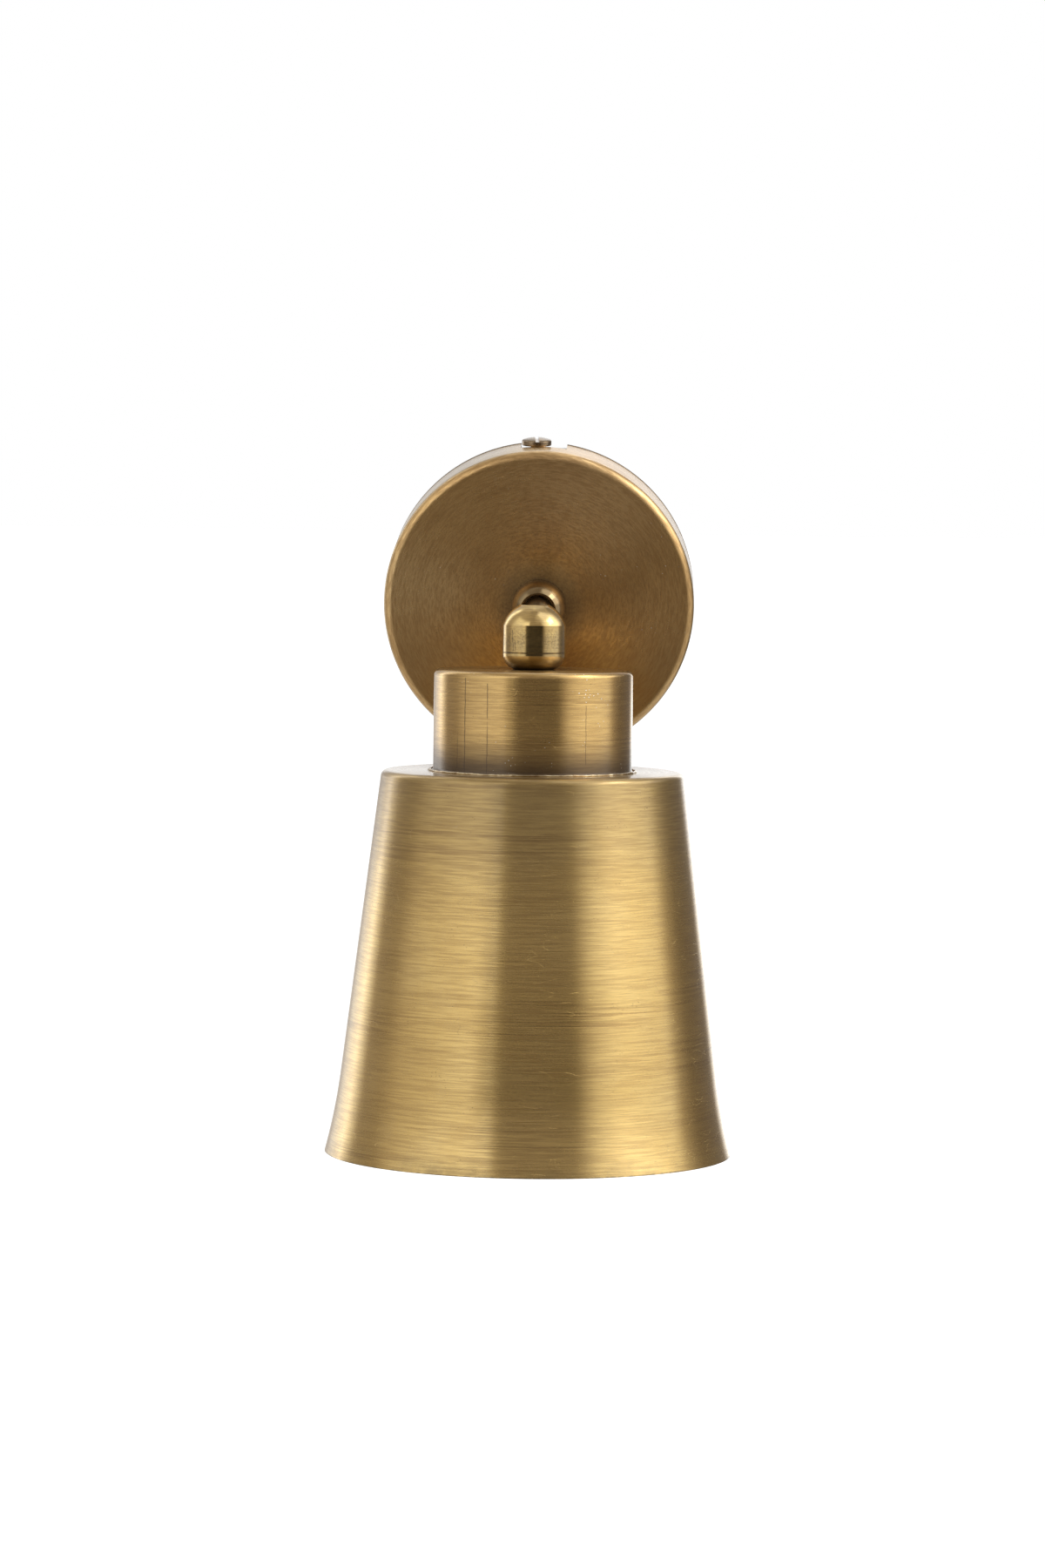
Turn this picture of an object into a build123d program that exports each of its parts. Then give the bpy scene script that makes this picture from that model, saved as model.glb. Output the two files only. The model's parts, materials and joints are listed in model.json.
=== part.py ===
from build123d import *
import math
import os

# A wall light: a round canopy on the wall, a short arm out of its middle, and a hanging brass shade
# on a ball swivel. Millimetres, +Z up. The wall is the plane Y = 0 and the room is towards -Y.
# Wall-side pieces are drawn lying on their back (local Y up the wall, local Z out into the room).
# Shade pieces are drawn hanging straight down from the swivel's centre, then leaned out by rest_tilt.

# ---- driving dimensions: canopy and bracket
canopy_diameter = 100.0
canopy_depth = 25.0
sheet = 1.0                  # brass sheet of the canopy and the shade
canopy_edge_radius = 2.8
notch_left = 6.6             # notch edges, left and right of the middle, seen from the room
notch_right = 8.25
notch_depth = 12.3           # from the wall into the canopy's side
bracket_width = 18.0
bracket_thickness = 2.0
tab_width = 12.0
tab_height = 20.0
tab_gap = 0.25               # bracket tab to the canopy's inner wall
slot_spacing = 68.0
slot_length = 10.0
slot_width = 5.0
cable_hole_diameter = 11.0

# ---- driving dimensions: screws and threads
screw_diameter = 4.0
screw_head_diameter = 9.6
screw_head_height = 2.6
screw_head_lap = 1.0         # how far a head laps over the notch's inner edge
screw_head_side = 0.3        # screw head to the notch's left edge
screw_shank = 8.0            # how far the canopy's screws reach in
driver_slot = 1.2            # screwdriver slot of the canopy's screws
driver_slot_depth = 1.1
thread_gap = 0.05            # radial clearance of a thread in its hole
tube_diameter = 10.0         # M10 x 1 thread tube
tube_bore = 7.0
hole_gap = 0.15              # radial clearance of the tube in a sheet hole
washer_diameter = 18.0
washer_thickness = 1.0
nut_across_flats = 14.0
nut_thickness = 3.0
tube_beyond_nut = 2.5        # how far the canopy's thread tube stands out behind its nut

# ---- driving dimensions: collar and arm
collar_diameter = 17.6
collar_height = 9.4
collar_straight = 3.4        # plain length of the collar before its dome starts
collar_gap = 0.8             # radial gap between the collar's bore and the arm
collar_wall = 1.5
collar_lip = 0.7             # flat lip round the collar's bore
nipple_head_thickness = 1.6
flange_thickness = 1.4
flange_gap = 0.25            # flange's rim to the collar's cavity
fibre_thickness = 0.6
spring_thickness = 0.5
collar_spring_rise = 0.2     # how far the collar's spring washer is coned
washer_gap = 0.2             # washers to the walls round them
arm_diameter = 8.5
arm_bore = 5.2
arm_tail = 1.5               # how far the arm's tail stops short of the thread tube's end
spigot_wall = 0.55           # wall of the arm's threaded spigot in the ball
spigot_stop = 3.2            # spigot's end to the swivel's centre
arm_reach = 54.5             # canopy's front face to the swivel's centre
running_gap = 0.05           # radial clearance where a piece turns
face_gap = 0.02              # clearance between flat faces that slide on each other

# ---- driving dimensions: ball swivel
barrel_wall = 2.75           # socket to the barrel's plain outside
dome_wall = 3.15             # socket to the domed top
barrel_drop = 11.0           # swivel centre to the barrel's flat foot
foot_inset = 3.8             # how far the flat foot stands in from the barrel's side
foot_radius = 5.06
ball_diameter = 14.0
slot_clearance = 0.35        # arm to the sides of the barrel's slot
ball_step = 0.1              # the ball's flat face round the arm
seat_thickness = 2.8
seat_hole = 8.0
seat_spring_rise = 0.3       # how far the seat's spring washer is coned
foot_floor = 2.5             # thickness of the foot's threaded floor
foot_height = 5.3            # the foot's visible height, up to its seam with the barrel
barrel_thread_wall = 1.25    # socket to the barrel's thread
rest_tilt = 7.83             # degrees that the shade leans out from the wall at rest

# ---- driving dimensions: shade
cap_diameter = 62.0
cap_height = 31.6
cap_edge_radius = 1.8
cap_foot_radius = 1.0
shoulder_diameter = 94.0
shoulder_radius = 2.0
cone_height = 119.2
rim_diameter = 127.0
flare_height = 25.0          # the last stretch above the rim, spun outwards
flare_width = 1.7

# ---- driving dimensions: lampholder, for an E27 lamp
lamp_thread_diameter = 26.6
shell_sheet = 0.4
shell_length = 24.0
shell_neck_length = 4.5      # the shell's drawn-in top, which clears the sprung tongue
shell_neck_inset = 0.9
skirt_wall = 5.3             # lamp thread guard, from the skirt's bore to its outside
skirt_gap = 0.5              # shell to the skirt's bore
holder_wall = 2.0
holder_neck_diameter = 16.0
holder_neck_length = 7.0
holder_neck_gap = 0.5        # cap nut to the holder's neck
holder_dome_length = 22.0
holder_joint_length = 6.0    # length of the thread between the dome and the skirt
holder_skirt_length = 38.0
core_thickness = 9.0
core_rise = 1.5              # how far the core stands up inside the dome
core_seat = 1.2              # depth of the shell's collar between the core and the skirt
grub_diameter = 3.0
grub_drop = 2.6              # neck's top to the set screw
contact_sheet = 0.96         # terminal plates on the core
tongue_sheet = 0.8
tongue_length = 9.0
tongue_angle = 20.0          # degrees that the centre tongue springs down
contact_screw_diameter = 3.0
contact_screw_inset = 6.9    # contact screws, in from the core's edge
contact_screw_reach = 5.0    # contact screws, down into the core
contact_leg = 0.8            # side contact's leg
side_half = 2.5              # half the side contact's width
contact_leg_inset = 1.6      # side contact's leg, in from the core's edge
rivet_diameter = 2.4

# ---- driving dimensions: wiring
lead_diameter = 2.1
lead_spacing = 2.4
lead_stop = 2.2              # leads end this far from the swivel's centre, one side and the other
pole_pitch = 8.5
block_length = 16.0
block_height = 12.0
block_top_inset = 2.0        # terminal screws' heads below the block's top
block_screw_sink = 3.0       # depth of the fixing screw's pocket
insert_rise = 5.0            # bracket's face to the inserts' axis
insert_diameter = 5.6
insert_bore = 3.5
set_screw_diameter = 3.0
earth_thickness = 0.8        # earth washer, and the ring terminal's sheet
earth_ring_diameter = 8.0
earth_crimp_diameter = 3.4
parts_gap = 0.1              # loose fit of an inner piece in its pocket

out = "parts"
os.makedirs(out, exist_ok=True)


# ---------------------------------------------------------------- helpers
def turned(*points):
    """A solid of revolution about Z from (radius, height) points."""
    outline = Polyline(*[(r, z) for r, z in points], close=True)
    return revolve(Plane.XZ * make_face(outline), Axis.Z, 360)


def tube(outer, inner, low, high):
    return turned((inner, low), (outer, low), (outer, high), (inner, high))


def rod(radius, low, high):
    return Pos(0, 0, low) * Cylinder(radius, high - low, align=(Align.CENTER, Align.CENTER, Align.MIN))


def block(x0, x1, y0, y1, z0, z1):
    return Pos((x0 + x1) / 2, (y0 + y1) / 2, (z0 + z1) / 2) * Box(x1 - x0, y1 - y0, z1 - z0)


def hexagon(across_flats, hole, low, high):
    prism = extrude(RegularPolygon(across_flats / 2, 6, major_radius=False), high - low)
    return Pos(0, 0, low) * prism - rod(hole, low - 1, high + 1)


def half_turn(shape):
    return Rot(0, 0, 180) * shape


def on_wall(shape):
    """Local up is the wall's up, local Z runs out into the room."""
    return Rot(90, 0, 0) * shape


def on_shade(shape):
    """Leans a hanging piece out and puts it at the swivel's centre."""
    return Pos(0, -pivot_out, 0) * Rot(-rest_tilt, 0, 0) * shape


def lead(points, radius, share=0.45):
    """A round wire through points: straight runs joined by tangent arcs."""
    points = [Vector(*p) for p in points]
    runs = [(b - a).length for a, b in zip(points, points[1:])]
    radii = []
    for i in range(1, len(points) - 1):
        turn = math.radians((points[i] - points[i - 1]).get_angle(points[i + 1] - points[i]))
        radii.append(share * min(runs[i - 1], runs[i]) / math.tan(turn / 2))
    path = FilletPolyline(*points, radius=radii) if radii else Line(*points)
    print("lead arcs", [round(r, 1) for r in radii], "length", round(path.length, 1))
    start = Plane(path @ 0, z_dir=path % 0)
    return sweep(start * Circle(radius), path=path)


def slotted_head(radius, height, cut_width, cut_depth):
    """A pan head standing on Z = 0, with a screwdriver slot along X."""
    crown = height * 0.35
    head = turned((0, 0), (radius, 0), (radius, height - crown), (radius * 0.82, height - crown * 0.3),
                  (radius * 0.55, height), (0, height))
    return head - block(-radius - 1, radius + 1, -cut_width / 2, cut_width / 2, height - cut_depth, height + 1)


def save(shape, name):
    solids = shape.solids()
    shape = solids[0] if len(solids) == 1 else Compound(children=list(solids))
    export_step(shape, f"{out}/{name}.step")


# ---------------------------------------------------------------- shared places
canopy_radius = canopy_diameter / 2
canopy_inner = canopy_radius - sheet
pivot_out = canopy_depth + arm_reach
tube_radius = tube_diameter / 2
tube_hole = tube_radius + hole_gap
screw_axis_out = notch_depth + screw_head_lap - screw_head_diameter / 2
screw_x = -notch_left + screw_head_diameter / 2 + screw_head_side
tab_face = math.sqrt(canopy_inner**2 - (abs(screw_x) + tab_width / 2) ** 2) - tab_gap

# collar stack, measured out from the wall
nipple_front = canopy_depth + nipple_head_thickness
fibre_front = nipple_front + face_gap + fibre_thickness
flange_back = fibre_front + face_gap
flange_front = flange_back + flange_thickness
spring_back = flange_front + face_gap
spring_front = spring_back + spring_thickness
collar_front = canopy_depth + collar_height
collar_bore = arm_diameter + 2 * collar_gap
collar_radius = collar_diameter / 2
collar_cavity = collar_radius - collar_wall
canopy_nut_top = canopy_depth - sheet - washer_thickness
nipple_end = canopy_nut_top - nut_thickness - tube_beyond_nut
arm_tail_radius = tube_bore / 2 - running_gap
arm_radius = arm_diameter / 2
arm_bore_radius = arm_bore / 2

# swivel, measured from its centre
ball_radius = ball_diameter / 2
socket_radius = ball_radius + running_gap
slot_half = arm_radius + slot_clearance
ball_flat = math.sqrt(ball_radius**2 - (arm_radius + ball_step) ** 2)
spigot_radius = arm_bore_radius + spigot_wall
barrel_radius = socket_radius + barrel_wall
dome_radius = socket_radius + dome_wall
barrel_top = math.sqrt(dome_radius**2 - slot_half**2)
seat_bore = seat_hole / 2
barrel_seam = -barrel_drop + foot_height
floor_top = -barrel_drop + foot_floor
barrel_thread_radius = socket_radius + barrel_thread_wall
seat_bottom = floor_top + 2 * face_gap + spring_thickness + seat_spring_rise
seat_top = seat_bottom + seat_thickness

# shade, measured down from the swivel's centre
cap_top = -barrel_drop
cap_bottom = cap_top - cap_height
cone_bottom = cap_bottom - cone_height
washer_bottom = cap_top - sheet - washer_thickness
nut_bottom = washer_bottom - nut_thickness
neck_top = nut_bottom - holder_neck_gap
neck_bottom = neck_top - holder_neck_length
dome_bottom = neck_top - holder_dome_length
skirt_top = dome_bottom + holder_joint_length
skirt_bottom = dome_bottom - holder_skirt_length
shell_outer = lamp_thread_diameter / 2 + shell_sheet
skirt_bore = shell_outer + skirt_gap
holder_radius = skirt_bore + skirt_wall
holder_inner = holder_radius - holder_wall
core_top = dome_bottom + core_rise
core_bottom = core_top - core_thickness
core_radius = holder_inner - holder_wall - parts_gap
core_ledge = core_bottom - core_seat
shell_top = core_bottom
shell_bottom = shell_top - shell_length
grub_radius = grub_diameter / 2
grub_height = neck_top - grub_drop
contact_top = core_top + face_gap
contact_front = contact_top + contact_sheet
contact_x = core_radius - contact_screw_inset
contact_edge = core_radius - contact_leg_inset
contact_screw_radius = contact_screw_diameter / 2
contact_hole = contact_screw_radius + parts_gap
rivet_radius = rivet_diameter / 2


# ---------------------------------------------------------------- canopy
def canopy_cup():
    outer = rod(canopy_radius, 0, canopy_depth)
    outer = fillet(outer.edges().group_by(Axis.Z)[-1], canopy_edge_radius)
    inner = rod(canopy_inner, -1, canopy_depth - sheet)
    inner = fillet(inner.edges().group_by(Axis.Z)[-1], canopy_edge_radius - sheet)
    cup = outer - inner - rod(tube_hole, 0, canopy_depth + 1)
    notch = block(-notch_left, notch_right, canopy_inner / 2, canopy_radius + 1, -1, notch_depth)
    return cup - notch - half_turn(notch)


def wall_bracket():
    strap = block(-bracket_width / 2, bracket_width / 2, -tab_face, tab_face, 0, bracket_thickness)
    tab = block(screw_x - tab_width / 2, screw_x + tab_width / 2,
                tab_face - bracket_thickness, tab_face, 0, tab_height)
    tab = tab - Pos(screw_x, 0, screw_axis_out) * Rot(-90, 0, 0) * rod(screw_diameter / 2, 0, canopy_radius)
    slot = Pos(0, slot_spacing / 2, 0) * extrude(
        Rot(0, 0, 90) * SlotOverall(slot_length, slot_width), bracket_thickness + 1)
    bracket = strap + tab + half_turn(tab)
    bracket -= slot + half_turn(slot) + rod(cable_hole_diameter / 2, -1, bracket_thickness + 1)
    bracket -= Pos(earth_x, earth_y, 0) * rod(screw_diameter / 2, -1, bracket_thickness + 1)
    bracket -= Pos(block_screw_x, block_y, 0) * rod(set_screw_diameter / 2, -1, bracket_thickness + 1)
    return bracket


def canopy_screw():
    head = slotted_head(screw_head_diameter / 2, screw_head_height, driver_slot, driver_slot_depth)
    shank = rod(screw_diameter / 2 - thread_gap, -screw_shank, 0)
    upright = Pos(screw_x, canopy_radius + face_gap, screw_axis_out) * Rot(-90, 0, 0) * (head + shank)
    return Compound(children=[upright, half_turn(upright)])


def collar_nipple():
    """The thread tube through the canopy, with a round head in front that the collar screws onto."""
    head = tube(collar_cavity - parts_gap, tube_bore / 2, canopy_depth, nipple_front)
    return head + tube(tube_radius, tube_bore / 2, nipple_end, canopy_depth)


def joint_collar():
    """A domed ring: its cavity holds the arm's flange, and its bore lets the arm out."""
    bore = collar_bore / 2
    dome_start = canopy_depth + collar_straight
    mid = (collar_radius * 0.93, dome_start + (collar_front - dome_start) * 0.45)
    outer = [Line((collar_cavity, canopy_depth), (collar_radius, canopy_depth)),
             Line((collar_radius, canopy_depth), (collar_radius, dome_start)),
             ThreePointArc((collar_radius, dome_start), mid, (bore + collar_lip, collar_front)),
             Line((bore + collar_lip, collar_front), (bore, collar_front)),
             Line((bore, collar_front), (bore, spring_front)),
             Line((bore, spring_front), (collar_cavity, spring_front)),
             Line((collar_cavity, spring_front), (collar_cavity, canopy_depth))]
    return revolve(Plane.XZ * make_face(outer), Axis.Z, 360)


def disc_spring(inner, outer, low, thickness, rise):
    """A coned spring washer: its outer edge stands on low, its inner edge is higher by rise."""
    return turned((inner, low + rise), (outer, low), (outer, low + thickness), (inner, low + thickness + rise))


def canopy_nut():
    return hexagon(nut_across_flats, tube_radius + thread_gap, canopy_nut_top - nut_thickness, canopy_nut_top)


# ---------------------------------------------------------------- terminal block and wiring in the canopy
block_y = 18.5
block_screw_x = pole_pitch / 2
insert_out = bracket_thickness + insert_rise
block_front = bracket_thickness + block_height
earth_x, earth_y = 0.0, -14.0
pole_x = [(i - 1) * pole_pitch for i in range(3)]
screw_rows = [block_y - block_length / 4, block_y + block_length / 4]
insert_radius = insert_diameter / 2
insert_length = block_length - 1.0
set_screw_radius = set_screw_diameter / 2
washer_front = bracket_thickness + earth_thickness
tag_front = washer_front + earth_thickness
shank_back = 0.3             # small screws end this far from the wall
crimp_radius = earth_crimp_diameter / 2


def terminal_block():
    """Three poles with saw cuts between them, wire tunnels from both ends and screw holes from the front."""
    half = 1.5 * pole_pitch + 0.5
    cut_half, cut_length, cut_depth = 0.5, 4.5, 5.0
    body = block(-half, half, block_y - block_length / 2, block_y + block_length / 2,
                 bracket_thickness, block_front)
    body = fillet(body.edges().filter_by(Axis.Z), 1.0)
    for x in pole_x:
        body -= Pos(x, 0, insert_out) * Rot(-90, 0, 0) * rod(insert_radius + parts_gap, 0, block_y + block_length)
        for y in screw_rows:
            body -= Pos(x, y, 0) * rod(set_screw_radius + 0.6, insert_out, block_front + 1)
    cut = block(-cut_half, cut_half, -block_length, cut_length - block_length / 2,
                block_front - cut_depth, block_front + 1)
    for x in (-block_screw_x, block_screw_x):
        body -= Pos(x, block_y, 0) * (cut + half_turn(cut))
    pocket = rod(set_screw_radius + 1.1, block_front - block_screw_sink, block_front + 1)
    return body - Pos(block_screw_x, block_y, 0) * (pocket + rod(set_screw_radius + parts_gap, 0, block_front))


def terminal_inserts():
    pieces = []
    for x in pole_x:
        brass = Pos(x, block_y - insert_length / 2, insert_out) * Rot(-90, 0, 0) * tube(
            insert_radius, insert_bore / 2, 0, insert_length)
        for y in screw_rows:
            brass -= Pos(x, y, 0) * rod(set_screw_radius + thread_gap, insert_out, block_front)
        pieces.append(brass)
    return Compound(children=pieces)


def terminal_screws():
    low = insert_out + lead_diameter / 2 + face_gap
    high = block_front - block_top_inset
    slot_half_width, slot_depth = 0.3, 0.8
    screw = rod(set_screw_radius, low, high) - block(
        -set_screw_radius, set_screw_radius, -slot_half_width, slot_half_width, high - slot_depth, high + 1)
    pieces = [Pos(x, y, 0) * screw for x in pole_x for y in screw_rows]
    return Compound(children=pieces)


def block_screw():
    seat = block_front - block_screw_sink
    head = Pos(0, 0, seat) * slotted_head(set_screw_radius + 0.9, 1.8, 0.7, 0.8)
    shank = rod(set_screw_radius - thread_gap, shank_back, seat)
    return Pos(block_screw_x, block_y, 0) * (head + shank)


def earth_screw():
    head = Pos(0, 0, tag_front) * slotted_head(3.6, 2.4, 1.0, 1.1)
    shank = rod(screw_diameter / 2 - thread_gap, shank_back, tag_front)
    return Pos(earth_x, earth_y, 0) * (head + shank)


def earth_ring():
    """The ring terminal crimped on the earth lead, under the earth screw's head."""
    ring_radius = earth_ring_diameter / 2
    ring_hole = screw_diameter / 2 + parts_gap
    ring = tube(ring_radius, ring_hole, washer_front, tag_front)
    tongue = block(ring_hole + 0.4, ring_radius + 3.5, -1.6, 1.6, washer_front, tag_front)
    crimp = Pos(ring_radius + 3.0, 0, washer_front + crimp_radius) * Rot(0, 90, 0) * tube(
        crimp_radius, lead_diameter / 2 + thread_gap, 0, 5.0)
    return Pos(earth_x, earth_y, 0) * (ring + (tongue - rod(ring_hole + 0.3, 0, block_front)) + crimp)


def earth_lead():
    tag_out = washer_front + crimp_radius
    end_y = block_y - block_length / 2
    points = [(earth_x + 7.5, earth_y, tag_out), (earth_x + 16.0, earth_y, tag_out),
              (20.0, -6.0, tag_out + 2.0), (18.0, 3.0, insert_out + 1.5),
              (pole_x[2], 4.0, insert_out), (pole_x[2], end_y + 5.0, insert_out)]
    return lead(points, lead_diameter / 2, 0.4)


def canopy_lead(side, pole):
    """A lead from its terminal to the arm's tail."""
    end_y = block_y - block_length / 2
    x = side * lead_spacing / 2
    points = [(pole, end_y + 5.0, insert_out), (pole, end_y - 4.5, insert_out),
              (x, 0.0, nipple_end - 5.5), (x, 0.0, arm_tail_end - 0.4)]
    return lead(points, lead_diameter / 2)


# ---------------------------------------------------------------- arm
arm_tail_end = nipple_end + arm_tail
spigot_end = pivot_out - spigot_stop


def swivel_arm():
    """A tube: a tail in the nipple, a flange in the collar, and a spigot that screws into the ball."""
    flange_rim = collar_cavity - flange_gap
    return turned((arm_bore_radius, arm_tail_end), (arm_tail_radius, arm_tail_end),
                  (arm_tail_radius, flange_back), (flange_rim, flange_back),
                  (flange_rim, flange_front), (arm_radius, flange_front),
                  (arm_radius, pivot_out - ball_flat), (spigot_radius, pivot_out - ball_flat),
                  (spigot_radius, spigot_end), (arm_bore_radius, spigot_end))


def joint_ball():
    """The hollow ball: its lower front quarter is slotted so that the leads can follow the shade."""
    past = ball_diameter
    ball = Sphere(ball_radius)
    ball -= rod(spigot_radius + thread_gap, -past, -spigot_stop)
    ball -= rod(arm_bore_radius, -spigot_stop - 1, past)
    ball -= block(-past, past, -past, past, -past, -ball_flat)
    ball -= Rot(0, 90, 0) * rod(arm_bore_radius, -arm_bore_radius, arm_bore_radius)
    ball -= block(-arm_bore_radius, arm_bore_radius, -past, 0, 0, past)
    ball -= Rot(90, 0, 0) * rod(arm_bore_radius, 0, past)
    return Pos(0, 0, pivot_out) * ball


def arm_lead(side):
    start = arm_tail_end + 0.2
    return Pos(side * lead_spacing / 2, 0, 0) * rod(lead_diameter / 2, start, pivot_out - lead_stop)


# ---------------------------------------------------------------- swivel barrel (shade side)
def swivel_barrel():
    """The domed upper piece: its socket holds the ball, and its slot lets the arm swing from back to top."""
    shoulder = math.sqrt(dome_radius**2 - barrel_radius**2)
    dome_mid = math.radians(45)
    outline = [Line((0, barrel_top), (slot_half, barrel_top)),
               ThreePointArc((slot_half, barrel_top),
                             (dome_radius * math.sin(dome_mid), dome_radius * math.cos(dome_mid)),
                             (barrel_radius, shoulder)),
               Line((barrel_radius, shoulder), (barrel_radius, barrel_seam)),
               Line((barrel_radius, barrel_seam), (0, barrel_seam)),
               Line((0, barrel_seam), (0, barrel_top))]
    barrel = revolve(Plane.XZ * make_face(outline), Axis.Z, 360)
    barrel += rod(barrel_thread_radius, floor_top + parts_gap, barrel_seam)
    bore = rod(socket_radius, -barrel_drop, 0)
    past = dome_radius + 1
    slot = block(-slot_half, slot_half, 0, past, 0, past) + Rot(-90, 0, 0) * rod(slot_half, 0, past)
    return barrel - bore - Sphere(socket_radius) - slot - rod(slot_half, 0, past)


def barrel_foot():
    """The round-bottomed cup that screws onto the barrel from below and takes the shade's tube."""
    foot_rim = barrel_radius - foot_inset
    arc_x = barrel_radius - foot_radius
    arc_start = -barrel_drop + math.sqrt(foot_radius**2 - (foot_rim - arc_x) ** 2)
    turn = math.asin((arc_start + barrel_drop) / foot_radius) / 2
    mid = (arc_x + foot_radius * math.cos(turn), arc_start - foot_radius * math.sin(turn))
    thread = barrel_thread_radius + thread_gap
    hole = tube_radius + thread_gap
    outline = [Line((thread, barrel_seam), (barrel_radius, barrel_seam)),
               Line((barrel_radius, barrel_seam), (barrel_radius, arc_start)),
               ThreePointArc((barrel_radius, arc_start), mid, (foot_rim, -barrel_drop)),
               Line((foot_rim, -barrel_drop), (hole, -barrel_drop)),
               Line((hole, -barrel_drop), (hole, floor_top)),
               Line((hole, floor_top), (thread, floor_top)),
               Line((thread, floor_top), (thread, barrel_seam))]
    return revolve(Plane.XZ * make_face(outline), Axis.Z, 360)


def ball_seat():
    """A nylon ring with a hollowed top that the ball turns on."""
    ring = tube(socket_radius - parts_gap, seat_bore, seat_bottom, seat_top)
    return ring - Sphere(socket_radius)


def shade_tube():
    """The thread tube that joins the barrel's foot, the cap and the lampholder."""
    return tube(tube_radius, tube_bore / 2, neck_bottom + 1.0, floor_top)


# ---------------------------------------------------------------- shade
def shade_cap():
    radius = cap_diameter / 2
    outer = rod(radius, cap_bottom, cap_top)
    outer = fillet(outer.edges().group_by(Axis.Z)[-1], cap_edge_radius)
    inner = rod(radius - sheet, cap_bottom - 1, cap_top - sheet)
    inner = fillet(inner.edges().group_by(Axis.Z)[-1], cap_edge_radius - sheet)
    foot = turned((radius - sheet, cap_bottom), (radius + cap_foot_radius, cap_bottom),
                  (radius + cap_foot_radius * 0.35, cap_bottom + cap_foot_radius * 0.35),
                  (radius, cap_bottom + cap_foot_radius), (radius - sheet, cap_bottom + cap_foot_radius))
    return outer + foot - inner - rod(tube_hole, cap_top - 5, cap_top + 1)


def shade_cone():
    """A spun sheet: flat shoulder with the cap's opening, straight flank, and a lip flared at the rim."""
    top, low = cap_bottom, cone_bottom
    shoulder, rim = shoulder_diameter / 2, rim_diameter / 2
    flare_start = low + flare_height
    rim_straight = rim - flare_width
    slope = math.atan((rim_straight - shoulder) / cone_height)
    flare_r = shoulder + (top - flare_start) * math.tan(slope)
    wall = sheet / math.cos(slope)
    opening = cap_diameter / 2 - sheet
    bend = math.radians(90) - slope
    reach = shoulder_radius * math.tan(bend / 2)
    flank = Vector(math.sin(slope), -math.cos(slope))
    centre = Vector(shoulder - reach, top - shoulder_radius)

    def arc_mid(radius):
        return centre + Vector(math.sin(bend / 2), math.cos(bend / 2)) * radius

    def arc_end(radius):
        return centre + Vector(math.cos(slope), math.sin(slope)) * radius

    inner_radius = shoulder_radius - sheet
    outer_end, inner_end = arc_end(shoulder_radius), arc_end(inner_radius)
    outline = [Line((opening, top), (centre.X, top)),
               ThreePointArc((centre.X, top), arc_mid(shoulder_radius), outer_end),
               Line(outer_end, (flare_r, flare_start)),
               TangentArc((flare_r, flare_start), (rim, low), tangent=flank),
               Line((rim, low), (rim - wall, low)),
               TangentArc((flare_r - wall, flare_start), (rim - wall, low), tangent=flank),
               Line((flare_r - wall, flare_start), inner_end),
               ThreePointArc(inner_end, arc_mid(inner_radius), (centre.X, top - sheet)),
               Line((centre.X, top - sheet), (opening, top - sheet)),
               Line((opening, top - sheet), (opening, top))]
    return revolve(Plane.XZ * make_face(outline), Axis.Z, 360)


def cap_nut():
    return hexagon(nut_across_flats, tube_radius + thread_gap, nut_bottom, washer_bottom)


# ---------------------------------------------------------------- lampholder
def holder_dome():
    neck = holder_neck_diameter / 2
    hole = tube_radius + thread_gap
    joint = holder_inner
    outline = [Line((hole, neck_top), (neck, neck_top)), Line((neck, neck_top), (neck, neck_bottom)),
               ThreePointArc((neck, neck_bottom), (holder_radius * 0.86, (neck_bottom + skirt_top) / 2 + 2.0),
                             (holder_radius, skirt_top)),
               Line((holder_radius, skirt_top), (holder_radius, dome_bottom)),
               Line((holder_radius, dome_bottom), (joint, dome_bottom)),
               Line((joint, dome_bottom), (joint, skirt_top)),
               ThreePointArc((joint, skirt_top), (joint * 0.84, (neck_bottom + skirt_top) / 2 + 0.2),
                             (hole, neck_bottom)),
               Line((hole, neck_bottom), (hole, neck_top))]
    dome = revolve(Plane.XZ * make_face(outline), Axis.Z, 360)
    return dome - Pos(0, 0, grub_height) * Rot(90, 0, 0) * rod(grub_radius + thread_gap, 0, holder_neck_diameter)


def holder_grub():
    """The set screw in the neck that stops the holder from unscrewing."""
    front = holder_neck_diameter / 2 - 0.2
    slot_half_width, slot_depth = 0.25, 0.7
    screw = rod(grub_radius, tube_radius + face_gap, front)
    screw -= block(-grub_radius, grub_radius, -slot_half_width, slot_half_width, front - slot_depth, front + 1)
    return Pos(0, 0, grub_height) * Rot(90, 0, 0) * screw


def holder_skirt():
    """The lower housing: it screws into the dome, clamps the core, and guards the lamp's thread."""
    joint = holder_inner - thread_gap
    outer = turned((skirt_bore, skirt_bottom), (holder_radius - 1.5, skirt_bottom),
                   (holder_radius - 0.5, skirt_bottom + 1.0),
                   (holder_radius, dome_bottom - face_gap), (joint, dome_bottom - face_gap), (joint, skirt_top),
                   (core_radius + parts_gap, skirt_top), (core_radius + parts_gap, core_ledge),
                   (skirt_bore, core_ledge))
    first_groove, groove_pitch, groove_width, groove_depth = 8.0, 4.0, 1.6, 0.8
    groove = tube(holder_radius + 1, holder_radius - groove_depth, 0, groove_width)
    for i in range(4):
        outer -= Pos(0, 0, dome_bottom - first_groove - i * groove_pitch) * groove
    return outer


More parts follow.
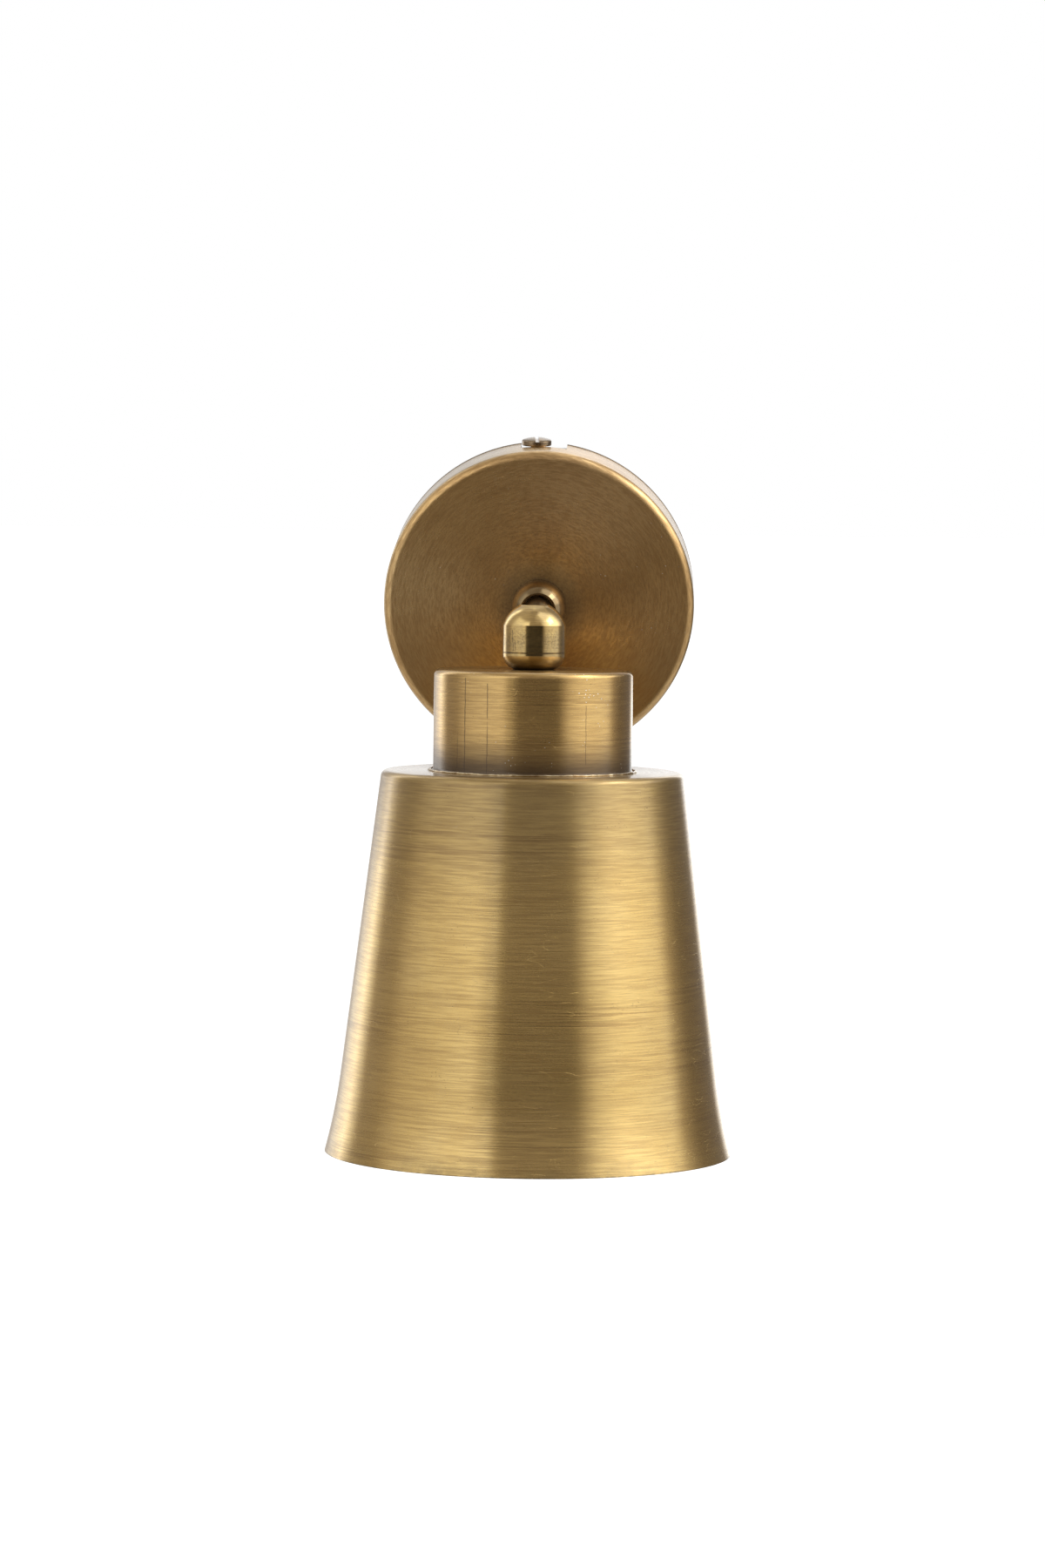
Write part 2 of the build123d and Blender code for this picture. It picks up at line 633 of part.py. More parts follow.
def holder_core():
    """The insulating disc that carries both contacts and their screws."""
    core = rod(core_radius, core_bottom, core_top)
    core -= block(-contact_edge - parts_gap, -contact_edge + contact_leg + parts_gap,
                  -side_half - parts_gap, side_half + parts_gap, core_bottom - 1, core_top + 1)
    hole = rod(contact_hole, core_top - contact_screw_reach - 1, core_top + 1)
    for x in (-contact_x, contact_x):
        core -= Pos(x, 0, 0) * hole
    return core - rod(rivet_radius + running_gap, core_bottom - 1, core_top + 1)


def contact_screws():
    seat = contact_front + face_gap
    screw = rod(contact_screw_radius, core_top - contact_screw_reach, seat)
    screw += Pos(0, 0, seat) * slotted_head(2.8, 1.8, 0.8, 0.9)
    return Compound(children=[Pos(x, 0, 0) * screw for x in (-contact_x, contact_x)])


def centre_contact():
    """A riveted spring tongue, sprung down towards the lamp's foot, with its terminal plate on top."""
    half, foot_back, foot_front = 3.0, -5.0, 3.0
    plate = block(-2.5, contact_x + 3, -half, half, contact_top, contact_front)
    plate -= Pos(contact_x, 0, 0) * rod(contact_hole, core_top - 1, core_top + 2)
    rivet = rod(rivet_radius, core_bottom - tongue_sheet, core_top + 0.5)
    foot = block(foot_back, foot_front, -half, half, core_bottom - tongue_sheet, core_bottom - face_gap)
    tongue = block(0, tongue_length, -half + 0.4, half - 0.4, -tongue_sheet / 2, tongue_sheet / 2)
    tongue = Pos(foot_back, 0, core_bottom - tongue_sheet / 2 - face_gap) * Rot(0, tongue_angle, 0) * tongue
    return plate + rivet + foot + tongue


def side_contact():
    """The terminal plate of the thread, bent down past the core's edge to the shell's collar."""
    plate = block(-contact_edge, -contact_x + 3, -side_half, side_half, contact_top, contact_front)
    leg = block(-contact_edge, -contact_edge + contact_leg, -side_half, side_half, core_bottom, contact_front)
    return plate + leg - Pos(-contact_x, 0, 0) * rod(contact_hole, core_top - 1, core_top + 2)


def screw_shell():
    """The lamp's threaded sleeve, drawn in at its top, with a collar that the skirt clamps against the core."""
    inner, neck = lamp_thread_diameter / 2, lamp_thread_diameter / 2 - shell_neck_inset
    collar, collar_back = core_radius - 0.4, shell_top - core_seat + parts_gap
    step = shell_top - shell_neck_length
    return turned((inner, shell_bottom), (shell_outer, shell_bottom), (shell_outer, step + shell_sheet),
                  (neck + shell_sheet, step + shell_sheet), (neck + shell_sheet, collar_back), (collar, collar_back),
                  (collar, shell_top - face_gap), (neck, shell_top - face_gap), (neck, step), (inner, step))


def shade_lead(side):
    """A lead from the swivel's centre through the thread tube to its contact screw."""
    x = side * lead_spacing / 2
    end = contact_front + lead_diameter / 2
    points = [(x, 0, -lead_stop), (x, 0, neck_bottom - 1.0), (side * 5.0, 3.2, end + 3.5),
              (side * contact_x, 4.3, end), (side * (contact_x + 3.0), 4.3, end)]
    return lead(points, lead_diameter / 2, 0.4)


# ---------------------------------------------------------------- write every piece
wall_pieces = {
    "wall_bracket": wall_bracket(),
    "canopy_cup": canopy_cup(),
    "canopy_screws": canopy_screw(),
    "collar_nipple": collar_nipple(),
    "joint_collar": joint_collar(),
    "collar_spring": disc_spring(collar_bore / 2 + parts_gap, collar_cavity - washer_gap, spring_back,
                                 spring_thickness - collar_spring_rise, collar_spring_rise),
    "fibre_washer": tube(collar_cavity - washer_gap, tube_bore / 2 + washer_gap, nipple_front + face_gap,
                         fibre_front),
    "canopy_washer": tube(washer_diameter / 2, tube_hole, canopy_nut_top, canopy_depth - sheet),
    "canopy_nut": canopy_nut(),
    "terminal_block": terminal_block(),
    "terminal_inserts": terminal_inserts(),
    "terminal_screws": terminal_screws(),
    "block_screw": block_screw(),
    "earth_screw": earth_screw(),
    "earth_washer": Pos(earth_x, earth_y, 0) * tube(earth_ring_diameter / 2 + 0.5, screw_diameter / 2 + parts_gap,
                                                    bracket_thickness, washer_front),
    "earth_ring": earth_ring(),
    "earth_lead": earth_lead(),
    "live_lead_canopy": canopy_lead(-1, pole_x[0]),
    "neutral_lead_canopy": canopy_lead(1, pole_x[1]),
    "swivel_arm": swivel_arm(),
    "joint_ball": joint_ball(),
    "live_lead_arm": arm_lead(-1),
    "neutral_lead_arm": arm_lead(1),
}
shade_pieces = {
    "swivel_barrel": swivel_barrel(),
    "barrel_foot": barrel_foot(),
    "ball_seat": ball_seat(),
    "seat_spring": disc_spring(seat_bore + 1.4, socket_radius - washer_gap, floor_top + face_gap, spring_thickness,
                               seat_spring_rise),
    "shade_tube": shade_tube(),
    "shade_cap": shade_cap(),
    "shade_cone": shade_cone(),
    "cap_washer": tube(washer_diameter / 2, tube_hole, washer_bottom, washer_bottom + washer_thickness),
    "cap_nut": cap_nut(),
    "holder_dome": holder_dome(),
    "holder_grub": holder_grub(),
    "holder_skirt": holder_skirt(),
    "holder_core": holder_core(),
    "screw_shell": screw_shell(),
    "centre_contact": centre_contact(),
    "side_contact": side_contact(),
    "contact_screws": contact_screws(),
    "live_lead_shade": shade_lead(-1),
    "neutral_lead_shade": shade_lead(1),
}
for name, shape in wall_pieces.items():
    save(on_wall(shape), name)
for name, shape in shade_pieces.items():
    save(on_shade(shape), name)
print("pieces", len(wall_pieces) + len(shade_pieces), "swivel centre", -pivot_out)
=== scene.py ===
import json
import math

import bmesh
import bpy
from mathutils import Matrix, Vector


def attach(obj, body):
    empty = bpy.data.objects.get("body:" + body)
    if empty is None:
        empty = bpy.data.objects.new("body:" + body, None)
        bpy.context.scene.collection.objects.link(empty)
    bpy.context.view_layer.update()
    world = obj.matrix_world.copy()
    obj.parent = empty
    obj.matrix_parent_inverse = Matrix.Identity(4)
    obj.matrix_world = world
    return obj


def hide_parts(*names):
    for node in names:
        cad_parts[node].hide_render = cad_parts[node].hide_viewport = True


# A brass wall light: round canopy, short arm, ball swivel and a hanging two-step shade.
# Sizes below are in millimetres, each piece drawn about its own turning axis (local Z).

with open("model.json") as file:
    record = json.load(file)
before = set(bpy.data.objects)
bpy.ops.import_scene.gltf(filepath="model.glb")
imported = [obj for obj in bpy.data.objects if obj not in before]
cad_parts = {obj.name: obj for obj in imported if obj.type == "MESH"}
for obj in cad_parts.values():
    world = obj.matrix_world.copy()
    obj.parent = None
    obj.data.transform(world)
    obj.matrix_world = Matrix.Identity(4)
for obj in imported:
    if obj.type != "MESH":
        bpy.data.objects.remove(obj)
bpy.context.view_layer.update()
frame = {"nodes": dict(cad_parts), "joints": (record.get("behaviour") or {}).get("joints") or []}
mm = 0.001

joints = {joint["name"]: joint for joint in frame["joints"]}
swivelCentre = Vector(joints["shade_tilt"]["pos_m"])
restTilt = -math.radians(joints["shade_tilt"]["range_deg"][0])   # how far the shade leans out at rest
wallPlace = Matrix.Rotation(math.radians(90), 4, "X")   # local Z runs out of the wall, local Y up it
shadePlace = Matrix.Translation(swivelCentre) @ Matrix.Rotation(-restTilt, 4, "X")
print("frame loaded:", len(frame["nodes"]), "nodes, shade leans", round(math.degrees(restTilt), 2))


def localBox(node, place):   # lowest and highest corner of a node in its own turned space, in mm
    back = place.inverted()
    points = [back @ vertex.co for vertex in frame["nodes"][node].data.vertices]
    low = [min(point[i] for point in points) / mm for i in range(3)]
    high = [max(point[i] for point in points) / mm for i in range(3)]
    return low, high


# node building

class Wire:   # a node's output, which adds and multiplies like a number
    def __init__(self, web, socket):
        self.web = web
        self.socket = socket

    def __add__(self, other):
        return self.web.calc("ADD", self, other)

    def __sub__(self, other):
        return self.web.calc("SUBTRACT", self, other)

    def __rsub__(self, other):
        return self.web.calc("SUBTRACT", other, self)

    def __mul__(self, other):
        return self.web.calc("MULTIPLY", self, other)

    def __truediv__(self, other):
        return self.web.calc("DIVIDE", self, other)

    def __rtruediv__(self, other):
        return self.web.calc("DIVIDE", other, self)

    def __lt__(self, other):
        return self.web.calc("LESS_THAN", self, other)

    def __gt__(self, other):
        return self.web.calc("GREATER_THAN", self, other)

    def __abs__(self):
        return self.web.calc("ABSOLUTE", self)


class Web:   # one node tree, with short ways to add to it
    def __init__(self, tree):
        self.tree = tree

    def fill(self, sockets, values):   # links a wire, or sets a plain value, for each named socket
        for label, value in values.items():
            if isinstance(value, Wire):
                self.tree.links.new(value.socket, sockets[label])
            elif isinstance(value, tuple) and sockets[label].type == "RGBA":
                sockets[label].default_value = (*value, 1.0)
            else:
                sockets[label].default_value = value

    def get(self, kind, inputs=None, out=0, **settings):   # a new node's output, or all of them
        node = self.tree.nodes.new(kind)
        for name, value in settings.items():
            setattr(node, name, value)
        self.fill(node.inputs, inputs or {})
        if out is None:
            return [Wire(self, each) for each in node.outputs]
        return Wire(self, node.outputs[out])

    def calc(self, operation, *values):
        return self.get("ShaderNodeMath", dict(enumerate(values)), operation=operation)

    def most(self, first, second):
        return self.calc("MAXIMUM", first, second)

    def vector(self, operation, *values):
        out = "Value" if operation == "LENGTH" else "Vector"
        return self.get("ShaderNodeVectorMath", dict(enumerate(values)), out, operation=operation)

    def split(self, vector):
        return self.get("ShaderNodeSeparateXYZ", {0: vector}, None)

    def join(self, x, y, z=0.0):
        return self.get("ShaderNodeCombineXYZ", {0: x, 1: y, 2: z})

    def ramp(self, value, low, high):
        return self.get("ShaderNodeMapRange", {"Value": value, "From Min": low, "From Max": high},
                        interpolation_type="SMOOTHSTEP")

    def blend(self, mask, first, second):
        return self.get("ShaderNodeMix", {0: mask, 6: first, 7: second}, 2, data_type="RGBA")

    def noise(self, vector, scale, detail, roughness=0.5, fourth=None, distortion=0.0):
        inputs = {"Vector": vector, "Scale": scale, "Detail": detail, "Roughness": roughness,
                  "Distortion": distortion}
        if fourth is None:
            return self.get("ShaderNodeTexNoise", inputs)
        return self.get("ShaderNodeTexNoise", {**inputs, "W": fourth}, noise_dimensions="4D")

    def group(self, group, **inputs):
        wires = self.get("ShaderNodeGroup", inputs, None, node_tree=group)
        return wires if len(wires) > 1 else wires[0]

    def finish(self, geometry, source, target):   # every geometry tree ends this way
        real = self.get("GeometryNodeRealizeInstances", {"Geometry": geometry})
        finished = self.get("GeometryNodeSetMaterial", {"Geometry": real, "Material": source["Finish"]})
        self.fill(target, {"Geometry": finished})
        return self.tree


def newGroup(name, kind, inputs, outputs):   # each socket is given by its kind or its starting value
    tree = bpy.data.node_groups.new(name, kind)
    for way, sockets in (("INPUT", inputs), ("OUTPUT", outputs)):
        for label, given in sockets.items():
            socketKind = given if isinstance(given, str) else "Float" if isinstance(given, float) else "Vector"
            socket = tree.interface.new_socket(label, in_out=way, socket_type="NodeSocket" + socketKind)
            if socketKind != given:
                socket.default_value = given
    web = Web(tree)
    source = {each.name: Wire(web, each) for each in tree.nodes.new("NodeGroupInput").outputs}
    return web, source, tree.nodes.new("NodeGroupOutput").inputs


def maskGroup(name, build, **inputs):   # a shader group with one mask, built from its named inputs
    web, source, target = newGroup(name, "ShaderNodeTree", inputs, {"Mask": "Float"})
    web.fill(target, {"Mask": build(web, source)})
    return web.tree


def geometryGroup(name, **inputs):
    labels = {label.replace("_", " "): kind for label, kind in inputs.items()}
    return newGroup(name, "GeometryNodeTree", {"Geometry": "Geometry", **labels, "Finish": "Material"},
                    {"Geometry": "Geometry"})


def buildBrushing():   # three sizes of line that run round the turning axis
    web, source, target = newGroup("brushing", "ShaderNodeTree", {
        "Local": "Vector", "Pitch": 0.0005, "Streaks": 6.0, "Wander": 0.0},
        {"Lines": "Float", "Grooves": "Float", "Broad": "Float"})
    x, y, z = web.split(source["Local"])
    flat = web.join(x, y)
    radius = web.most(web.vector("LENGTH", flat), 0.0002)
    shift = (web.noise(source["Local"], 45.0, 3.0) - 0.5) * source["Wander"]
    cosine, sine, rest = web.split(web.vector("DIVIDE", flat, web.join(radius, radius, 1.0)))
    height = z + shift
    outward = radius + shift

    def lines(pitch, streaks, detail, low, high):
        turn = source["Streaks"] * streaks
        per = 1.0 / pitch / source["Pitch"]
        point = web.join(cosine * turn, sine * turn, height * per)
        return web.ramp(web.noise(point, 1.0, detail, 0.6, outward * per), low, high)

    grooves = lines(1.6, 0.3, 1.0, 0.5, 0.62) * lines(16.0, 0.12, 2.0, 0.42, 0.62)
    web.fill(target, {"Lines": lines(1.0, 1.0, 3.0, 0.36, 0.64), "Grooves": grooves,
                      "Broad": lines(9.0, 0.3, 3.0, 0.32, 0.68)})
    return web.tree


def buildPatina(web, source):   # slow cloudy change of tone
    return web.ramp(web.noise(source["Vector"], source["Scale"], 6.0, 0.6, distortion=0.6), 0.35, 0.68)


def buildSpecks(web, source):   # small pits and dust, gathered by a slow noise
    cells = web.get("ShaderNodeTexVoronoi", {"Vector": source["Vector"], "Scale": source["Scale"]}, "Distance")
    slow = web.noise(source["Vector"], source["Scale"] * 0.12, 3.0)
    return cells < source["Amount"] * web.ramp(slow, 0.42, 0.75)


def buildScratches(web, source):   # thin hairlines: level lines of a stretched noise
    stretched = web.vector("MULTIPLY", source["Vector"], source["Stretch"])
    line = 1.0 - web.ramp(abs(web.noise(stretched, 1.0, 1.0) - 0.5), 0.0, source["Width"])
    return line * web.ramp(web.noise(source["Vector"], 130.0, 2.0), 0.5, 0.62)


def buildRing(web, source):   # one where Value is near Centre, fading over Width
    return 1.0 - web.ramp(abs(source["Value"] - source["Centre"]), 0.0, source["Width"])


def buildUpright(web, source):   # a thin broken scratch along the axis, at one angle round it
    x, y, z = web.split(source["Local"])
    angle = web.calc("ARCTAN2", x, y * -1.0)
    offset = (angle - source["Angle"]) * web.vector("LENGTH", web.join(x, y))
    wobble = web.noise(source["Local"], 500.0, 3.0) * 0.0005 - 0.00025
    offset = offset + (z - source["High"]) * source["Lean"] + wobble
    line = 1.0 - web.ramp(abs(offset), 0.0, source["Width"])
    broken = web.ramp(web.noise(source["Local"], 260.0, 2.0), 0.25, 0.42)
    return line * broken * (z > source["Low"]) * (z < source["High"])


brushing = buildBrushing()
patina = maskGroup("patina", buildPatina, Vector="Vector", Scale=30.0)
specks = maskGroup("specks", buildSpecks, Vector="Vector", Scale=900.0, Amount=0.2)
scratches = maskGroup("scratches", buildScratches, Vector="Vector", Stretch=(60.0, 60.0, 60.0), Width=0.004)
ringMask = maskGroup("ringMask", buildRing, Value=0.0, Centre=0.0, Width=0.001)
upright = maskGroup("uprightScratch", buildUpright, Local="Vector", Angle=0.0, Lean=0.0, Width=0.0002,
                    Low=-0.04, High=-0.02)
print("shader groups built")

# brass

def startMaterial(name):
    material = bpy.data.materials.new(name)
    material.use_nodes = True
    web = Web(material.node_tree)
    return material, web, web.tree.nodes["Principled BSDF"].inputs


def brassMaterial(name, place, look):
    material, web, shader = startMaterial(name)
    coords = web.get("ShaderNodeTexCoord", out="Object")
    back = place.inverted()
    local = web.get("ShaderNodeMapping", {   # turned so that the piece's axis is Z
        "Vector": coords, "Location": back.translation, "Rotation": back.to_euler()})
    x, y, z = web.split(local)
    outward = web.vector("LENGTH", web.join(x, y))
    lines, grooves, broad = web.group(brushing, Local=local, Pitch=look["pitch"] * mm, Streaks=look["streaks"],
                                      Wander=look["wander"] * mm)
    clouds = web.group(patina, Vector=coords, Scale=look["cloudScale"])
    pits = web.group(specks, Vector=coords, Scale=look["pitScale"], Amount=look["pits"])
    dust = web.group(specks, Vector=web.vector("ADD", coords, (0.3, 0.1, 0.2)), Scale=look["dustScale"],
                     Amount=look["dust"])
    hair = web.group(scratches, Vector=local, Stretch=look["hairStretch"], Width=look["hairWidth"])
    colour = web.blend(clouds, look["colour"], look["cloudColour"])
    if "rim" in look:   # a yellower tone painted on the rim, for the colour of its highlight
        start, end, rimHighlightColour = look["rim"]
        colour = web.blend(web.ramp(outward, start * mm, end * mm), colour, rimHighlightColour)
    for centre, width, depth, tone in look["paintedLightFans"]:   # painted highlights and painted shade: lighter and darker fans round a flat face
        angle = web.calc("ARCTAN2", x, y) * (180 / math.pi)
        reach = web.ramp(outward, look["paintedFanFrom"] * mm, look["paintedFanTo"] * mm)
        paintedFan = web.group(ringMask, Value=angle, Centre=centre, Width=width) * reach
        colour = web.blend(paintedFan * depth, colour, tone)
    for mask, depth, tone in ((broad, "broadDepth", "lineColour"), (lines, "lineDepth", "lineColour"),
                              (grooves, "grooveDepth", "lineColour"), (pits, "pitDepth", "dirtAndShadeColour"),
                              (hair, "hairDepth", "hairColour")):
        colour = web.blend(mask * look[depth], colour, look[tone])
    dirtAndShade = dull = marks = 0.0
    for kind, value in (("dirtAndShadeRings", z), ("outerShadeRings", outward), ("dullShadeRings", z)):   # darkened rings: some are dirt, some painted shade where parts meet or one shades another
        for at, width, grain, low, high, depth in look[kind]:
            ring = web.group(ringMask, Value=value, Centre=at * mm, Width=width * mm)
            mask = ring * web.ramp(web.noise(coords, grain, 6.0, 0.7), low, high)
            dirtAndShade = web.most(dirtAndShade, mask * depth)
            if kind == "dullShadeRings":
                dull = web.most(dull, mask)
    colour = web.blend(dirtAndShade, colour, look["dirtAndShadeColour"])
    for angle, width, low, high, lean in look["marks"]:
        line = web.group(upright, Local=local, Angle=math.radians(angle), Lean=lean, Width=width * mm,
                         Low=low * mm, High=high * mm)
        marks = web.most(marks, line)
    colour = web.blend(web.calc("MULTIPLY", marks, look["markDepth"]), colour, look["dirtAndShadeColour"])
    colour = web.blend(dust * look["dustDepth"], colour, look["dustColour"])
    dirtShadeAndDust = web.most(dirtAndShade, dust)
    rough = lines * look["roughLines"] + look["roughness"] + clouds * look["roughClouds"]
    rough = rough + dirtShadeAndDust * look["roughDirtAndShade"] + dull * look["roughDull"]
    sunk = web.most(web.most(pits, hair), marks)
    height = lines + broad * 0.5 - grooves * 2.0 - sunk * 2.0
    around = web.vector("CROSS_PRODUCT", (0.0, 0.0, 1.0), local)   # direction of the brushing, for the gloss
    around = web.get("ShaderNodeMapping", {"Vector": around, "Rotation": place.to_euler()},
                     vector_type="VECTOR")
    tangent = web.get("ShaderNodeVectorTransform", {0: around}, vector_type="VECTOR", convert_from="OBJECT",
                      convert_to="WORLD")
    bump = web.get("ShaderNodeBump", {"Height": height, "Strength": look["bump"],
                                      "Distance": look["bumpDepth"] * mm})
    web.fill(shader, {
        "Base Color": colour, "Roughness": rough, "Metallic": 1.0 - web.most(dirtShadeAndDust * look["unmetal"], dull),
        "Normal": bump, "Coat Weight": (1.0 - dull) * look["coat"], "Coat Roughness": look["coatRoughness"],
        "Specular Tint": look["edgeTint"], "Tangent": tangent, "Anisotropic": look["anisotropic"],
        "Anisotropic Rotation": 0.25})   # a quarter turn: the gloss spreads along the axis
    return material


# ring lists, of dirt and painted shade (by height, by radius, dulled by height): at, width, grain, patchiness
# low and high, depth; marks: angle, width, low, high, lean; fans of painted highlight and shade: angle from the
# top, width, depth, tone; rim tone painted for its highlight: from, to, colour
brushedBrass = {
    "colour": (0.83, 0.59, 0.22), "cloudColour": (0.75, 0.51, 0.17), "cloudScale": 22.0,
    "lineColour": (0.33, 0.19, 0.065), "lineDepth": 0.42, "broadDepth": 0.1, "grooveDepth": 0.42,
    "pitch": 0.5, "streaks": 4.5, "wander": 0.25,
    "pitScale": 1100.0, "pits": 0.17, "pitDepth": 0.6, "dustScale": 800.0, "dust": 0.0,
    "dustDepth": 0.8, "dustColour": (0.9, 0.86, 0.78), "dirtAndShadeColour": (0.075, 0.045, 0.022), "markDepth": 0.75,
    "hairStretch": (90.0, 90.0, 260.0), "hairWidth": 0.003, "hairDepth": 0.12, "hairColour": (0.86, 0.70, 0.42),
    "roughness": 0.20, "roughLines": 0.07, "roughClouds": 0.03, "bump": 0.45, "bumpDepth": 0.02,
    "roughDirtAndShade": 0.25, "roughDull": 0.4, "unmetal": 0.25, "paintedFanFrom": 9.0, "paintedFanTo": 34.0, "anisotropic": 0.8,
    "coat": 0.7, "coatRoughness": 0.1, "edgeTint": (1.0, 1.0, 1.0),
    "dirtAndShadeRings": [], "outerShadeRings": [], "dullShadeRings": [], "marks": [], "paintedLightFans": [],
}
polishedBrass = {
    **brushedBrass, "pitch": 0.25, "streaks": 3.0, "wander": 0.2, "lineDepth": 0.25, "broadDepth": 0.2,
    "grooveDepth": 0.35, "roughness": 0.1, "roughLines": 0.05, "roughClouds": 0.03, "anisotropic": 0.2,
    "bump": 0.2, "bumpDepth": 0.006, "pits": 0.22, "pitScale": 1900.0, "pitDepth": 0.6, "hairDepth": 0.04,
    "cloudScale": 140.0, "cloudColour": (0.60, 0.44, 0.19), "roughDirtAndShade": 0.1,
}
brassLooks = {
    "coneBrass": (shadePlace, {
        **brushedBrass, "dirtAndShadeRings": [(-42.6, 52, 25, -0.4, 0.6, 0.42), (-42.6, 1.4, 500, -0.1, 0.7, 0.5),
                                  (-161.8, 7.0, 60, 0.35, 0.75, 0.45), (-161.8, 0.7, 500, 0.3, 0.6, 0.8)]}),
    "capBrass": (shadePlace, {
        **brushedBrass, "colour": (0.77, 0.515, 0.19), "cloudColour": (0.69, 0.44, 0.145), "pitch": 0.48,
        "streaks": 3.6, "lineDepth": 0.46, "dust": 0.14, "dustScale": 700.0,
        "dirtAndShadeRings": [(-42.6, 14, 60, -0.4, 0.4, 0.92), (-43.0, 2.5, 300, 0.2, 0.6, 0.9),
                  (-10.0, 1.9, 90, 0.0, 0.5, 0.55)],
        # the outer ring darkens the cap's top round the barrel: painted shade
        "outerShadeRings": [(7.0, 19.0, 200, -0.4, 0.45, 0.85)],
        "marks": [(-41.0, 0.3, -42.0, -13.0, 0.0), (-25.5, 0.28, -42.0, -14.5, 0.0),
                  (-47.0, 0.2, -41.0, -30.0, 0.0), (33.0, 0.18, -39.0, -21.0, 0.0)]}),
    "canopyBrass": (wallPlace, {
        **brushedBrass, "colour": (0.82, 0.53, 0.215), "cloudColour": (0.62, 0.39, 0.15),
        "lineColour": (0.34, 0.18, 0.06), "pitch": 0.6, "streaks": 13.0, "wander": 1.3, "roughness": 0.27,
        "cloudScale": 26.0, "anisotropic": 0.7, "lineDepth": 0.5, "grooveDepth": 0.2, "dust": 0.11,
        "dustScale": 520.0, "coat": 0.5, "coatRoughness": 0.12, "bump": 0.25, "edgeTint": (0.70, 0.74, 0.80),
        # rim: a yellower tone painted where the front edge's highlight falls
        "rim": (49.0, 50.6, (0.60, 0.50, 0.29)),
        # fans: painted highlights at 22 and -82 degrees, painted shade at 140 and -140 degrees below the collar
        "paintedLightFans": [(22.0, 55.0, 1.0, (1.0, 0.68, 0.32)), (-82.0, 34.0, 0.4, (1.0, 0.76, 0.40)),
                 (140.0, 70.0, 0.8, (0.36, 0.25, 0.11)), (-140.0, 70.0, 0.6, (0.36, 0.25, 0.11))],
        # the outer ring darkens the face round the collar, painted shade; the dulled ring is a painted shade
        # line along the rear edge at the wall
        "outerShadeRings": [(9.0, 9.0, 120, 0.0, 0.5, 0.6)], "dullShadeRings": [(1.0, 5.0, 200, -0.8, 0.0, 0.9)]}),
    "swivelBrass": (shadePlace, {
        # the ring at -11.0 darkens the foot's bottom where it sits on the cap, painted shade; the others are
        # the seam groove and mottling
        **polishedBrass, "dirtAndShadeRings": [(-5.7, 0.5, 300, 0.2, 0.6, 0.8), (-11.0, 1.4, 200, 0.1, 0.5, 0.9),
                                   (-1.5, 5.5, 1500, 0.42, 0.72, 0.6)],
        "marks": [(-42.0, 0.24, -5.2, 1.5, 0.06), (-36.0, 0.16, -5.2, -1.5, 0.06),
                  (-50.0, 0.16, -4.0, 0.5, 0.0)]}),
    "collarBrass": (wallPlace, {
        **polishedBrass, "colour": (0.31, 0.225, 0.105), "cloudColour": (0.22, 0.155, 0.07),
        "anisotropic": 0.5, "pits": 0.2, "dirtAndShadeRings": [(25.0, 1.2, 200, 0.1, 0.5, 0.8)]}),
    "armBrass": (wallPlace, {
        **polishedBrass, "colour": (0.24, 0.15, 0.075), "cloudColour": (0.12, 0.075, 0.04),
        "lineColour": (0.08, 0.05, 0.03), "roughness": 0.3}),
    "screwBrass": (wallPlace, {
        **polishedBrass, "colour": (0.40, 0.28, 0.15), "cloudColour": (0.17, 0.115, 0.06), "cloudScale": 330.0,
        "lineColour": (0.12, 0.08, 0.05), "roughness": 0.25, "pits": 0.3, "pitScale": 1500.0,
        "anisotropic": 0.0}),
    "shellBrass": (shadePlace, {
        **polishedBrass, "colour": (0.85, 0.66, 0.30), "cloudColour": (0.78, 0.58, 0.25), "roughness": 0.16,
        "pits": 0.15}),
    "solderBrass": (shadePlace, {
        **polishedBrass, "colour": (0.80, 0.68, 0.45), "cloudColour": (0.30, 0.20, 0.10), "cloudScale": 260.0,
        "roughness": 0.18, "anisotropic": 0.0}),
}
finishes = {name: brassMaterial(name, place, look) for name, (place, look) in brassLooks.items()}
print("brass materials built")

# steel, plastic, ceramic and sleeving

def plainMaterial(name, look):   # streaked metal or moulded stuff: fine grain, cloudy tone, small marks
    material, web, shader = startMaterial(name)
    coords = web.get("ShaderNodeTexCoord", out="Object")
    clouds = web.group(patina, Vector=coords, Scale=look["cloudScale"])
    grain = web.noise(web.vector("MULTIPLY", coords, look["stretch"]), look["grain"], 5.0, look["grainRough"])
    grain = web.ramp(grain, 0.3, 0.7)
    marks = web.group(specks, Vector=coords, Scale=look["markScale"], Amount=look["marks"])
    base, cloudTone, grainTone, markTone = look["tones"]
    colour = web.blend(grain * look["grainDepth"], web.blend(clouds, base, cloudTone), grainTone)
    if "stripe" in look:
        wave = web.get("ShaderNodeTexWave", {"Vector": coords, "Scale": 90.0, "Distortion": 1.0}, "Fac",
                       bands_direction="DIAGONAL")
        colour = web.blend(web.ramp(wave, 0.45, 0.55), colour, look["stripe"])
    colour = web.blend(marks * look["markDepth"], colour, markTone)
    bump = web.get("ShaderNodeBump", {"Height": grain - marks, "Strength": look["bump"],
                                      "Distance": look["bumpDepth"] * mm})
    web.fill(shader, {
        "Base Color": colour, "Normal": bump, "Metallic": look["metallic"], "Coat Weight": look["glaze"],
        "Roughness": grain * look["roughGrain"] + look["roughness"] + clouds * look["roughClouds"]})
    return material


